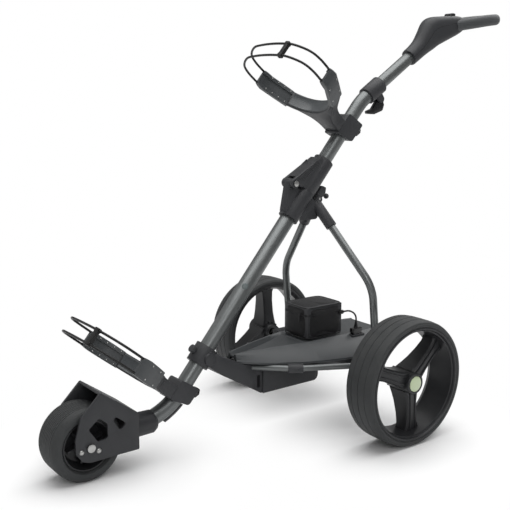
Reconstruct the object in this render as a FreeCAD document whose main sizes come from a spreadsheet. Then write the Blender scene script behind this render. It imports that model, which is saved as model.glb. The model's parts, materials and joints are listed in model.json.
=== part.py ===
import FreeCAD, Part
import math
import os

from FreeCAD import Placement, Rotation, Vector

# Electric golf trolley. +Z is up, the trolley drives towards -Y, and +X is its left side.
# The origin is on the ground under the middle of its outline. Sizes are in millimetres.
SIZES = {
    # overall
    "rear_axle_y": 82.0,
    "wheelbase": 660.2,
    "rear_radius": 142.5,
    "rear_width": 82.0,
    "rear_track": 522.8,
    "front_radius": 77.7,
    "front_width": 83.6,
    "running_clearance": 0.05,
    "parting_gap": 0.3,
    # main tubes
    "tube_tilt": 50.0,
    "handle_tilt": 33.5,
    "fork_reach": 193.0,
    "tube_wall": 1.6,
    "lower_tube_radius": 18.0,
    "lower_bend": 150.0,
    "upper_tube_radius": 17.0,
    "upper_bend": 140.0,
    "upper_length": 875.5,
    "handle_tube_start": 24.0,
    "handle_tube_end": 236.0,
    "collar_start": 21.0,
    "collar_end": 72.0,
    "collar_radius": 21.5,
    "neck_along": 199.0,
    # fold hinge
    "hinge_along": 597.0,
    "hinge_reach": 46.7,
    "hinge_pin_radius": 4.0,
    "hinge_boss": 11.0,
    "knuckle_radius": 24.0,
    "knuckle_start": 530.0,
    "knuckle_end": 697.0,
    "parting_along": 605.0,
    "tongue_width": 21.0,
    "ear_width": 9.0,
    "latch_pin_radius": 3.0,
    # stays
    "stay_radius": 9.0,
    "stay_wall": 1.5,
    "stay_bend": 90.0,
    "stay_spread": 160.0,
    "chassis_tube_radius": 7.0,
    "chassis_tube_wall": 1.5,
    "chassis_bend": 110.0,
    # cradles
    "cradle_radius": 112.0,
    "cradle_reach": 207.0,
    "cradle_band": 6.0,
    "cradle_width": 38.0,
    "cord_radius": 2.6,
    "upper_cradle_along": 781.0,
    "lower_cradle_along": 56.0,
    "clamp_half_width": 24.0,
    "knob_stud_radius": 4.0,
    # fork and front wheel
    "fork_gap": 2.0,
    "fork_wall": 5.0,
    "front_axle_radius": 5.0,
    "collar_bore_length": 62.0,
    # rear drive
    "axle_radius": 6.0,
    "hub_radius": 23.5,
    "hub_length": 56.0,
    "axle_end_reach": 24.0,
    "bearing_radius": 14.0,
    "housing_radius": 17.0,
    "bearing_span": 320.0,
    "gear_module": 2.0,
    "gear_teeth": 36.0,
    "pinion_teeth": 12.0,
    "gear_width": 14.0,
    "motor_radius": 28.0,
    "motor_length": 74.0,
    "motor_shaft_radius": 4.0,
    "case_wall": 4.0,
    # tray and battery
    "deck_height": 199.0,
    "deck_half_width": 52.0,
    "tray_wall": 3.0,
    "battery_width": 94.0,
    "battery_depth": 116.0,
    "battery_height": 80.0,
    "battery_y": 36.0,
    "lead_radius": 2.1,
    # controls
    "console_width": 62.0,
    "shell_wall": 3.0,
    "dial_radius": 14.0,
    "button_radius": 5.0,
    "dial_stem_radius": 5.0,
    "release_radius": 16.0,
    "release_travel": 3.0,
    "lever_pin_radius": 2.5,
}

doc = FreeCAD.newDocument("golf_trolley")
NODES = []


def make_sheet():
    """Put every driving size in the sheet, under its alias, and read the sheet back."""
    sheet = doc.addObject("Spreadsheet::Sheet", "Sizes")
    for row, (alias, value) in enumerate(SIZES.items(), start=1):
        sheet.set(f"A{row}", alias)
        sheet.set(f"B{row}", str(value))
        sheet.setAlias(f"B{row}", alias)
    doc.recompute()
    return {alias: float(sheet.get(alias)) for alias in SIZES}


d = make_sheet()

# ---------------------------------------------------------------- frames and derived places
FRONT_Y = d["rear_axle_y"] - d["wheelbase"]
CORNER = Vector(0, FRONT_Y + d["fork_reach"], d["front_radius"] + 2.3)
REAR_Z = d["rear_radius"]
HALF_TRACK = d["rear_track"] / 2


def tilted(origin, tilt):
    """A frame whose Z runs along a tube that climbs rearwards, and whose Y points below it."""
    return Placement(origin, Rotation(Vector(1, 0, 0), tilt - 90))


SPINE = tilted(CORNER, d["tube_tilt"])
UPPER_CORNER = SPINE.multVec(Vector(0, 0, d["upper_length"]))
HANDLE = tilted(UPPER_CORNER, d["handle_tilt"])
WORLD = Placement()
ALONG_X = Rotation(Vector(0, 1, 0), 90)
ALONG_Y = Rotation(Vector(1, 0, 0), -90)
ALONG_Z = Rotation()


def at(frame, x, y, z, turn=ALONG_Z):
    """A placement at a point of a frame, turned within it."""
    return frame.multiply(Placement(Vector(x, y, z), turn))


# ---------------------------------------------------------------- building blocks
def keep(shape, label):
    """Name a finished sub-part, which also names its file."""
    shape.Label = label
    NODES.append(shape)
    return shape


def outline_edges(corners):
    """Straight edges and tangent arcs through (u, v) or (u, v, radius) corners of a closed outline."""
    if corners[0] == "circle":
        _, u, v, radius = corners
        return [Part.Circle(Vector(u, v, 0), Vector(0, 0, 1), radius)]
    edges, starts, ends = [], [], []
    count = len(corners)
    for index, corner in enumerate(corners):
        here = Vector(corner[0], corner[1], 0)
        before = Vector(corners[index - 1][0], corners[index - 1][1], 0)
        after = Vector(corners[(index + 1) % count][0], corners[(index + 1) % count][1], 0)
        radius = corner[2] if len(corner) > 2 else 0
        if radius == 0:
            starts.append(here)
            ends.append(here)
            continue
        back = (before - here).normalize()
        ahead = (after - here).normalize()
        half = back.getAngle(ahead) / 2
        reach = radius / math.tan(half)
        middle = here + (back + ahead).normalize() * (radius / math.sin(half) - radius)
        starts.append(here + back * reach)
        ends.append(here + ahead * reach)
        edges.append(Part.Arc(starts[-1], middle, ends[-1]))
    for index in range(count):
        end = starts[(index + 1) % count]
        if (end - ends[index]).Length > 1e-6:
            edges.append(Part.LineSegment(ends[index], end))
    return edges


def new_body(label, frame=WORLD):
    body = doc.addObject("PartDesign::Body", label)
    body.Placement = frame
    return body


def add_sketch(body, role, outlines, offset=0.0):
    """A sketch on one of the body's own origin planes, moved along that plane's normal."""
    sketch = body.newObject("Sketcher::SketchObject", "outline")
    plane = next(item for item in body.Origin.OriginFeatures if item.Role == role)
    sketch.AttachmentSupport = [(plane, "")]
    sketch.MapMode = "FlatFace"
    sketch.AttachmentOffset = Placement(Vector(0, 0, offset), Rotation())
    for outline in outlines:
        sketch.addGeometry(outline_edges(outline), False)
    return sketch


def add_pad(body, sketch, length, symmetric=True):
    pad = body.newObject("PartDesign::Pad", "pad")
    pad.Profile = sketch
    pad.SideType = "Symmetric" if symmetric else "One side"
    pad.setExpression("Length", length)
    return pad


def add_pocket(body, sketch, length):
    """Cut both ways from the sketch plane."""
    pocket = body.newObject("PartDesign::Pocket", "pocket")
    pocket.Profile = sketch
    pocket.SideType = "Symmetric"
    pocket.setExpression("Length", length)
    return pocket


def side_plate(label, frame, width, outlines, pockets=()):
    """A piece drawn from the side and padded both ways along X; pockets are (width, outline)."""
    body = new_body(label, frame)
    add_pad(body, add_sketch(body, "YZ_Plane", outlines), width)
    for pocket_width, outline in pockets:
        add_pocket(body, add_sketch(body, "YZ_Plane", [outline]), pocket_width)
    return body


def turned(label, frame, outline, role="XZ_Plane", axis="V_Axis"):
    """A piece turned about its own Z (or X, for an H_Axis) from half of its section."""
    body = new_body(label, frame)
    sketch = add_sketch(body, role, [outline])
    revolution = body.newObject("PartDesign::Revolution", "revolution")
    revolution.Profile = sketch
    revolution.ReferenceAxis = (sketch, [axis])
    revolution.Angle = 360
    return body


def cylinder(label, radius, length, place):
    solid = doc.addObject("Part::Cylinder", label)
    solid.setExpression("Radius", radius)
    solid.setExpression("Height", length)
    solid.Placement = place
    return solid


def box(label, length, width, height, place):
    solid = doc.addObject("Part::Box", label)
    solid.setExpression("Length", str(length))
    solid.setExpression("Width", str(width))
    solid.setExpression("Height", str(height))
    solid.Placement = place
    return solid


def fuse(label, *pieces):
    result = doc.addObject("Part::MultiFuse", label)
    result.Shapes = list(pieces)
    return result


def cut(label, base, *tools):
    result = doc.addObject("Part::Cut", label)
    result.Base = base
    result.Tool = tools[0] if len(tools) == 1 else fuse(label + "_tools", *tools)
    return result


def rounded_path(points, radii):
    """Straight runs joined by tangent arcs, as one wire."""
    edges = []
    last = points[0]
    for index in range(1, len(points) - 1):
        here = points[index]
        back = (points[index - 1] - here).normalize()
        ahead = (points[index + 1] - here).normalize()
        half = back.getAngle(ahead) / 2
        radius = radii[index - 1]
        reach = radius / math.tan(half)
        middle = here + (back + ahead).normalize() * (radius / math.sin(half) - radius)
        start, end = here + back * reach, here + ahead * reach
        if (start - last).Length > 1e-6:
            edges.append(Part.LineSegment(last, start).toShape())
        edges.append(Part.Arc(start, middle, end).toShape())
        last = end
    edges.append(Part.LineSegment(last, points[-1]).toShape())
    return Part.Wire(edges)


def swept(path, radius):
    """A round bar along a wire."""
    first = path.Edges[0]
    start = first.valueAt(first.FirstParameter)
    heading = first.tangentAt(first.FirstParameter)
    ring = Part.Wire([Part.Circle(start, heading, radius).toShape()])
    return path.makePipeShell([ring], True, True)


def free_shape(label, shape):
    """A sub-part whose route or teeth no primitive or sketch feature makes."""
    feature = doc.addObject("Part::Feature", label)
    feature.Shape = shape
    return feature


def tube_along(path, radius, wall):
    return swept(path, radius).cut(swept(path, radius - wall))


def bar_between(start, end, radius):
    return Part.makeCylinder(radius, (end - start).Length, start, end - start)


# ---------------------------------------------------------------- main tubes
LOWER_TUBE_END = d["parting_along"] - 6
LOWER_PATH = rounded_path(
    [CORNER + Vector(0, -d["lower_bend"] * math.tan(math.radians(d["tube_tilt"] / 2)) - 12, 0),
     CORNER, SPINE.multVec(Vector(0, 0, LOWER_TUBE_END))],
    [d["lower_bend"]])
UPPER_PATH = rounded_path(
    [SPINE.multVec(Vector(0, 0, d["parting_along"] + 4)), UPPER_CORNER,
     HANDLE.multVec(Vector(0, 0, d["collar_end"] - 2))],
    [d["upper_bend"]])
LOWER_SOLID = swept(LOWER_PATH, d["lower_tube_radius"])
UPPER_SOLID = swept(UPPER_PATH, d["upper_tube_radius"])


def make_main_tubes():
    keep(free_shape("lower_tube", tube_along(LOWER_PATH, d["lower_tube_radius"], d["tube_wall"])),
         "lower_tube")
    keep(free_shape("upper_tube", tube_along(UPPER_PATH, d["upper_tube_radius"], d["tube_wall"])),
         "upper_tube")
    length = "Sizes.handle_tube_end - Sizes.handle_tube_start"
    place = at(HANDLE, 0, 0, d["handle_tube_start"])
    sliding = "Sizes.upper_tube_radius - Sizes.tube_wall - Sizes.running_clearance"
    outer = cylinder("handle_tube_outer", sliding, length, place)
    inner = cylinder("handle_tube_inner", sliding + " - Sizes.tube_wall", length, place)
    keep(cut("handle_tube_cut", outer, inner), "handle_tube")


def make_bend_guard():
    """A moulded strip that protects the outside of the lower bend."""
    lead_in = d["lower_bend"] * math.tan(math.radians(d["tube_tilt"] / 2))
    middle = CORNER + Vector(0, -lead_in, d["lower_bend"])
    inner = d["lower_bend"] + d["lower_tube_radius"] - 2
    arcs = []
    for radius in (inner, inner + 7):
        points = [Vector(middle.y + radius * math.sin(turn), middle.z - radius * math.cos(turn), 0)
                  for turn in (math.radians(angle) for angle in (24, 33, 42))]
        arcs.append(Part.Arc(*points))
    inside, outside = arcs
    body = new_body("guard_body")
    sketch = add_sketch(body, "YZ_Plane", [])
    sketch.addGeometry([inside, outside, Part.LineSegment(inside.StartPoint, outside.StartPoint),
                        Part.LineSegment(inside.EndPoint, outside.EndPoint)], False)
    add_pad(body, sketch, "15")
    keep(cut("bend_guard_cut", body, free_shape("guard_bore", LOWER_SOLID)), "bend_guard")


# ---------------------------------------------------------------- fork and front wheel
FORK_FRAME = Placement(Vector(0, FRONT_Y, d["front_radius"]), Rotation())
FORK_HALF = d["front_width"] / 2 + d["fork_gap"]
FORK_OUTER = "Sizes.front_width + 2 * (Sizes.fork_gap + Sizes.fork_wall)"
FORK_REAR = d["fork_reach"] - 85


def make_fork():
    """A moulded box yoke: a sloping roof, a rear wall and two windowed side plates."""
    plate = [(25, 109.3, 4), (-20, 64.3, 20), (-32, 22.3, 10), (-32, -5.7, 10), (-18, -25.7, 12),
             (0, -31, 20), (53, -29.7), (FORK_REAR, -29.7, 3), (FORK_REAR, 49.3, 5)]
    inside = [(-58.4, 164.8), (FORK_REAR - 14, 52), (FORK_REAR - 14, -60), (-60, -60)]
    upper_window = [(28, 74, 5), (80, 34, 5), (66, 21, 6), (50, 46, 12)]
    lower_window = [(-4, 39, 5), (20, 58, 6), (38, 42, 8), (38, 12, 6), (16, 9, 5)]
    body = side_plate(
        "fork_body", FORK_FRAME, FORK_OUTER, [plate],
        [("Sizes.front_width + 2 * Sizes.fork_gap", inside),
         ("300", upper_window), ("300", lower_window),
         ("300", ("circle", 0, 0, d["front_axle_radius"]))])
    keep(body, "front_fork")


def make_fork_collar():
    """A sleeve that carries the lower tube's front end, flanged to the fork's rear wall."""
    start = FRONT_Y + FORK_REAR
    radius = d["lower_tube_radius"] + 7
    length = d["collar_bore_length"]
    sleeve = turned("fork_collar_body", Placement(Vector(0, start, CORNER.z), ALONG_Y),
                    [(0, 0), (radius + 4, 0), (radius + 1, 8), (radius, length - 8),
                     (radius - 5, length), (0, length)])
    path = free_shape("fork_collar_bore", LOWER_SOLID)
    keep(cut("fork_collar_cut", sleeve, path), "fork_collar")


def make_front_axle():
    length = "Sizes.front_width + 2 * (Sizes.fork_gap + Sizes.fork_wall) + 1"
    half = FORK_HALF + d["fork_wall"] + 0.5
    rod = cylinder("front_axle_rod", "Sizes.front_axle_radius", length,
                   at(FORK_FRAME, -half, 0, 0, ALONG_X))
    heads = [cylinder("front_axle_head", "Sizes.front_axle_radius * 1.7", "4",
                      at(FORK_FRAME, side - 2, 0, 0, ALONG_X)) for side in (-half - 1.5, half + 1.5)]
    keep(fuse("front_axle_bolt", rod, *heads), "front_axle")


def make_fork_screws():
    """Two pan-head screws in each side plate hold the axle carrier."""
    half = FORK_HALF + d["fork_wall"]
    screws = []
    for side in (-1, 1):
        for y, z in ((-20, -5), (17, -10)):
            start = half if side > 0 else -half - 3
            screws.append(cylinder("fork_screw", "4.5", "3", at(FORK_FRAME, start, y, z, ALONG_X)))
    keep(fuse("fork_screw_group", *screws), "fork_screws")


def make_front_wheel():
    """A dished rim on bushes, with a wide soft tyre round it."""
    half = d["front_width"] / 2
    outer = d["front_radius"]
    seat = outer - 19
    tyre = [(seat, -half + 6), (seat + 5, -half, 2), (outer - 8, -half, 6), (outer - 1.5, -half + 16, 12),
            (outer, -8, 20), (outer, 8, 20), (outer - 1.5, half - 16, 12), (outer - 8, half, 6),
            (seat + 5, half, 2), (seat, half - 6)]
    keep(turned("front_tyre_body", Placement(FORK_FRAME.Base, ALONG_X), tyre), "front_tyre")
    hub = d["front_axle_radius"] + d["running_clearance"]
    web = 7
    rim = [(hub, -half + 3), (hub + 11, -half + 3), (hub + 11, -web), (seat - 7, -web),
           (seat - 7, -half + 9), (seat, -half + 6), (seat, half - 6), (seat - 7, half - 9),
           (seat - 7, web), (hub + 11, web), (hub + 11, half - 3), (hub, half - 3)]
    keep(turned("front_rim_body", Placement(FORK_FRAME.Base, ALONG_X), rim), "front_rim")


# ---------------------------------------------------------------- fold hinge
PIN_Y = -d["hinge_reach"]
PIN_Z = d["hinge_along"]


def make_lower_knuckle():
    """A socket over the lower tube's end with a tongue that reaches forward to the hinge pin."""
    start, radius = d["knuckle_start"], d["knuckle_radius"]
    socket = cylinder("lower_socket", "Sizes.knuckle_radius",
                      "Sizes.parting_along - Sizes.knuckle_start - Sizes.parting_gap / 2",
                      at(SPINE, 0, 0, start))
    tongue = side_plate("lower_tongue", SPINE, "Sizes.tongue_width", [
        [(0, start + 4), (-radius, start + 4), (PIN_Y - 9, PIN_Z - 6), (PIN_Y, PIN_Z),
         (0, PIN_Z)]])
    boss = cylinder("lower_boss", "Sizes.hinge_boss", "Sizes.tongue_width",
                    at(SPINE, -d["tongue_width"] / 2, PIN_Y, PIN_Z, ALONG_X))
    solid = fuse("lower_knuckle_solid", socket, tongue, boss)
    hole = cylinder("lower_pin_hole", "Sizes.hinge_pin_radius", "100", at(SPINE, -50, PIN_Y, PIN_Z, ALONG_X))
    tube = free_shape("lower_knuckle_bore", LOWER_SOLID)
    keep(cut("lower_knuckle_cut", solid, hole, tube), "lower_knuckle")


def make_upper_knuckle():
    """A socket under the upper tube's end with two ears astride the tongue."""
    end, radius = d["knuckle_end"], d["knuckle_radius"]
    start = d["parting_along"] + d["parting_gap"] / 2
    socket = cylinder("upper_socket", "Sizes.knuckle_radius",
                      "Sizes.knuckle_end - Sizes.parting_along - Sizes.parting_gap / 2",
                      at(SPINE, 0, 0, start))
    ears_width = "Sizes.tongue_width + 2 * Sizes.ear_width"
    ears = side_plate("upper_ears", SPINE, ears_width, [
        [(0, start), (PIN_Y, PIN_Z + 2), (PIN_Y - 9, PIN_Z + 6), (-radius, end - 8), (0, end - 8)]])
    boss = cylinder("upper_boss", "Sizes.hinge_boss", ears_width,
                    at(SPINE, -d["tongue_width"] / 2 - d["ear_width"], PIN_Y, PIN_Z, ALONG_X))
    slot_width = d["tongue_width"] + 2 * d["parting_gap"]
    slot = box("upper_slot", slot_width, 60, 40,
               at(SPINE, -slot_width / 2, -radius - 54, PIN_Z - 24))
    hole = cylinder("upper_pin_hole", "Sizes.hinge_pin_radius + Sizes.running_clearance", "100",
                    at(SPINE, -50, PIN_Y, PIN_Z, ALONG_X))
    tube = free_shape("upper_knuckle_bore", UPPER_SOLID)
    under = box("under_parting", 80, 60, 60, at(SPINE, -40, -radius - 2, start - 60))
    socket_and_ears = fuse("upper_knuckle_solid", socket, ears, boss)
    keep(cut("upper_knuckle_cut", socket_and_ears, hole, tube, slot, under), "upper_knuckle")


def make_hinge_pins():
    """The headed pin of the fold hinge and the plain pin of the latch behind it."""
    half = d["tongue_width"] / 2 + d["ear_width"]
    pin = cylinder("hinge_pin_rod", "Sizes.hinge_pin_radius",
                   "Sizes.tongue_width + 2 * Sizes.ear_width + 2",
                   at(SPINE, -half - 1, PIN_Y, PIN_Z, ALONG_X))
    heads = [cylinder("hinge_pin_head", "Sizes.hinge_pin_radius * 1.6", "3",
                      at(SPINE, start, PIN_Y, PIN_Z, ALONG_X)) for start in (-half - 3.5, half + 0.5)]
    latch_pin = cylinder("latch_pin_rod", "Sizes.latch_pin_radius", "30",
                         at(SPINE, -15, LATCH_Y, LATCH_Z, ALONG_X))
    keep(fuse("hinge_pin_all", pin, *heads, latch_pin), "hinge_pins")


# ---------------------------------------------------------------- stays, yoke and latch
STAY_TOP_Z = 607.3
STAY_TOP_Y = 36.6
LATCH_Y = 38.0
LATCH_Z = 616.0


def stay_points(side):
    """Centre line of one stay, from inside its socket to the axle housing's end block."""
    top = SPINE.multVec(Vector(0, STAY_TOP_Y, STAY_TOP_Z)) + Vector(side * 10, 2.4, -10.5)
    rear = d["rear_axle_y"]
    bend = Vector(side * d["stay_spread"], rear - 6, REAR_Z + 193.5)
    foot = Vector(side * d["stay_spread"], rear + 12, REAR_Z + d["housing_radius"] + 6)
    return [top, bend, foot]


STAY_PATHS = {side: rounded_path(stay_points(side), [d["stay_bend"]]) for side in (-1, 1)}


def make_stays():
    pair = [tube_along(STAY_PATHS[side], d["stay_radius"], d["stay_wall"]) for side in (-1, 1)]
    keep(free_shape("stay_pair", Part.makeCompound(pair)), "stay_tubes")


def make_stay_yoke():
    """A saddle behind the lower knuckle with one angled socket for each stay."""
    radius = d["knuckle_radius"]
    saddle = side_plate("yoke_saddle", SPINE, "30", [
        [(0, 545), (radius + 4, 545, 6), (62, 574, 8), (52, 600, 8), (36, 603, 3), (0, 603)]])
    ears = side_plate("yoke_ears", SPINE, "30", [
        [(LATCH_Y - 10, 590), (LATCH_Y + 12, 590), (LATCH_Y + 8, LATCH_Z + 5, 6),
         (LATCH_Y - 7, LATCH_Z + 5, 6)]])
    sockets = []
    for side in (-1, 1):
        top, bend, _ = stay_points(side)
        heading = (bend - top).normalize()
        sockets.append(bar_between(top - heading * 6, top + heading * 62, d["stay_radius"] + 4))
    sleeve = free_shape("yoke_sockets", sockets[0].fuse(sockets[1]))
    solid = fuse("yoke_solid", saddle, ears, sleeve)
    slot_width = 17
    slot = box("latch_slot", slot_width, 60, 60, at(SPINE, -slot_width / 2, radius + 4.5, LATCH_Z - 10))
    hole = cylinder("latch_pin_hole", "Sizes.latch_pin_radius", "30",
                    at(SPINE, -15, LATCH_Y, LATCH_Z, ALONG_X))
    core = cylinder("yoke_core", "Sizes.knuckle_radius", "400", at(SPINE, 0, 0, 400))
    stays = [free_shape("stay_bore", swept(STAY_PATHS[side], d["stay_radius"])) for side in (-1, 1)]
    above = box("yoke_above", 80, 40, 40, at(SPINE, -40, -10, d["parting_along"] - 2))
    keep(cut("yoke_cut", solid, core, slot, hole, above, *stays), "stay_yoke")


def make_latch():
    """A sprung catch behind the fold, with a ball to pull it back, on its own pin."""
    arm = side_plate("latch_arm", SPINE, "16", [
        [(LATCH_Y - 7, LATCH_Z, 3), (LATCH_Y + 6, LATCH_Z - 4, 3), (LATCH_Y + 12, LATCH_Z + 20, 6),
         (LATCH_Y + 4, LATCH_Z + 34, 4), (LATCH_Y - 9, LATCH_Z + 30, 3)]])
    stem = cylinder("latch_stem", "3", "14", at(SPINE, 0, LATCH_Y + 6, LATCH_Z + 22, ALONG_Y))
    ball = doc.addObject("Part::Sphere", "latch_ball")
    ball.Radius = 6.5
    ball.Placement = at(SPINE, 0, LATCH_Y + 23, LATCH_Z + 22)
    hole = cylinder("latch_bore", "Sizes.latch_pin_radius + Sizes.running_clearance", "40",
                    at(SPINE, -20, LATCH_Y, LATCH_Z, ALONG_X))
    keep(cut("latch_cut", fuse("latch_solid", arm, stem, ball), hole), "hinge_latch")


# ---------------------------------------------------------------- bag cradles
def cradle_point(angle, radius):
    """A point of the cradle's section: angle 0 is sideways, -90 is against the clamp."""
    turn = math.radians(angle)
    return radius * math.cos(turn), -(d["cradle_reach"] + radius * math.sin(turn))


def ring_sector(inner, outer, start, end):
    """The closed outline of part of a ring in the cradle's section, as arcs and two ends."""
    def arc(radius):
        a, b, c = (Vector(*cradle_point(angle, radius), 0)
                   for angle in (start, (start + end) / 2, end))
        return Part.Arc(a, b, c)
    first, second = arc(inner), arc(outer)
    return [first, second, Part.LineSegment(first.StartPoint, second.StartPoint),
            Part.LineSegment(first.EndPoint, second.EndPoint)]


def section_pad(body, geometry, start, length):
    sketch = body.newObject("Sketcher::SketchObject", "section")
    plane = next(item for item in body.Origin.OriginFeatures if item.Role == "XY_Plane")
    sketch.AttachmentSupport = [(plane, "")]
    sketch.MapMode = "FlatFace"
    sketch.AttachmentOffset = Placement(Vector(0, 0, start), Rotation())
    sketch.addGeometry(geometry, False)
    add_pad(body, sketch, length, symmetric=False)


# A strap loop's foot, shoulder, quarter point and crown: across, and beyond the arm tips.
STRAP_ROUTE = [(115, -8), (114, 45), (72, 83), (0, 86)]
STRAP_BENDS = [45, 70, 200, 70, 45]
TIP_SHORT = 6.0
CLIP_ACROSS = 54.0


def make_cradle(name, along, clamp_start, clamp_end, knob_along, tube_solid):
    """One bag cradle: its tube clamp, the padded half ring, two arms, screws and strap loops."""
    start = along - d["cradle_width"] / 2
    tube_radius = d["lower_tube_radius"] if name == "lower" else d["upper_tube_radius"]
    half = d["clamp_half_width"]
    front = tube_radius + 9
    inner, outer = d["cradle_radius"], d["cradle_radius"] + d["cradle_band"]

    clamp = side_plate(name + "_clamp_block", SPINE, "2 * Sizes.clamp_half_width", [
        [(-front, clamp_start - 8, 4), (tube_radius + 6, clamp_start + 4, 8),
         (tube_radius + 8, clamp_end, 4), (-front, clamp_end - 6, 6)]])
    stud_hole = cylinder(name + "_stud_hole", "Sizes.knob_stud_radius", "30",
                         at(SPINE, 0, tube_radius - 1, knob_along, ALONG_Y))
    bore = free_shape(name + "_clamp_bore", tube_solid)
    keep(cut(name + "_clamp_cut", clamp, bore, stud_hole), name + "_cradle_clamp")

    knob_start = tube_radius + 8.4
    head = cylinder(name + "_knob_head", "12", "12", at(SPINE, 0, knob_start, knob_along, ALONG_Y))
    stud = cylinder(name + "_knob_stud", "Sizes.knob_stud_radius - Sizes.running_clearance", "9",
                    at(SPINE, 0, tube_radius + 0.6, knob_along, ALONG_Y))
    keep(fuse(name + "_knob", head, stud), name + "_cradle_knob")

    band = new_body(name + "_band", SPINE)
    section_pad(band, ring_sector(inner, outer, -133, -47), start, "Sizes.cradle_width")
    web = new_body(name + "_web", SPINE)
    right = [(half, -front), (26, -64, 60), cradle_point(-47.5, outer + 5), cradle_point(-47.5, inner + 2)]
    web_corners = right + [(-x, *rest) for x, *rest in reversed(right)]
    section_pad(web, outline_edges(web_corners), start + 4, "Sizes.cradle_width - 8")
    core = cylinder(name + "_core", "Sizes.cradle_radius + 1", "200",
                    at(SPINE, 0, -d["cradle_reach"], along - 100))
    keep(fuse(name + "_cradle_solid", band, cut(name + "_web_cut", web, core)), name + "_cradle")

    arms = []
    screws = []
    for side in (-1, 1):
        arm = new_body(name + "_arm", SPINE)
        tip = TIP_SHORT - d["cradle_reach"]
        rising = [cradle_point(-47, inner), cradle_point(-47, outer + 6), (122, tip + 16, 12),
                  (121, tip), (109, tip), (107, tip + 22, 30)]
        section_pad(arm, outline_edges([(side * x, y, *bend) for x, y, *bend in rising]), start - 2,
                    "Sizes.cradle_width + 4")
        arms.append(arm)
        root = Vector(*cradle_point(-47, outer + 6), 0)
        end = Vector(122, tip + 16, 0)
        outward = Vector(end.y - root.y, root.x - end.x, 0).normalize()
        outward = outward if outward.x > 0 else -outward
        for share in (0.3, 0.75):
            for z in (start + 3, start + d["cradle_width"] - 3):
                seat = root + (end - root) * share
                turn = Rotation(Vector(0, 0, 1), Vector(side * outward.x, outward.y, 0))
                screws.append(cylinder(name + "_screw", "3", "2",
                                       at(SPINE, side * seat.x, seat.y, z, turn)))
    loops = [strap_loop(z) for z in (start + 3, start + d["cradle_width"] - 3)]
    holes = [free_shape(name + "_cord_hole", loop) for loop in loops]
    keep(cut(name + "_arms_cut", fuse(name + "_arms", *arms), *holes), name + "_cradle_arms")
    keep(fuse(name + "_screw_group", *screws), name + "_cradle_screws")
    make_strap(name, start, loops)


def strap_loop(level):
    """One elastic loop, from one arm tip to the other, at a level along the tube."""
    foot = d["cradle_reach"] - TIP_SHORT
    right = [(-x, beyond) for x, beyond in reversed(STRAP_ROUTE[:-1])]
    points = [SPINE.multVec(Vector(x, -foot - beyond, level)) for x, beyond in STRAP_ROUTE + right]
    return swept(rounded_path(points, STRAP_BENDS), d["cord_radius"])


def make_strap(name, start, loops):
    """Two elastic loops from arm tip to arm tip, and the rubber clip that joins them."""
    crown = d["cradle_reach"] - TIP_SHORT + STRAP_ROUTE[-1][1]
    clip = Part.makeBox(11, 10, d["cradle_width"] + 4, Vector(-5.5, -5, 0))
    clip.Placement = at(SPINE, CLIP_ACROSS, 3 - crown, start - 2, Rotation(Vector(0, 0, 1), 4))
    keep(free_shape(name + "_strap_shape", loops[0].fuse(loops[1]).fuse(clip)), name + "_cradle_strap")


def make_cradles():
    make_cradle("upper", d["upper_cradle_along"], 768, 824, 812, UPPER_SOLID)
    make_cradle("lower", d["lower_cradle_along"], 47, 93, 84, LOWER_SOLID)


# ---------------------------------------------------------------- chassis
PIVOT_ALONG = 158.0
TRAY_NOSE_Y = d["rear_axle_y"] - 285
TROUGH_FRONT = d["rear_axle_y"] - 222
TROUGH_REAR = d["rear_axle_y"] - 58
TROUGH_BOTTOM = REAR_Z - 49.5
TRAY_REAR_Y = d["rear_axle_y"] + 128
TUBE_POINTS = {side: [Vector(side * 20, d["rear_axle_y"] - 252, REAR_Z + 15),
                      Vector(side * 96, d["rear_axle_y"] - 177, REAR_Z + 17),
                      Vector(side * 152, d["rear_axle_y"] - 20, REAR_Z + 9)] for side in (-1, 1)}
CHASSIS_TUBE_RADIUS = d["chassis_tube_radius"]
CLIP_HALF = 17.0


def chassis_path(side):
    """The centre line of one chassis tube."""
    return rounded_path(TUBE_POINTS[side], [d["chassis_bend"]])


def make_pivot_collar():
    """A clamp round the lower tube with a round boss each side and a lock knob in front."""
    ring = cylinder("collar_ring", "Sizes.lower_tube_radius + 8", "44", at(SPINE, 0, 0, PIVOT_ALONG - 22))
    bosses = cylinder("collar_bosses", "14", "64", at(SPINE, -32, 4, PIVOT_ALONG, ALONG_X))
    bore = free_shape("collar_bore", LOWER_SOLID)
    knob = cylinder("collar_knob_head", "9", "10",
                    at(SPINE, 0, -d["lower_tube_radius"] - 17.4, PIVOT_ALONG, ALONG_Y))
    keep(cut("pivot_collar_cut", fuse("pivot_collar_solid", ring, bosses, knob), bore), "pivot_collar")


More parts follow.
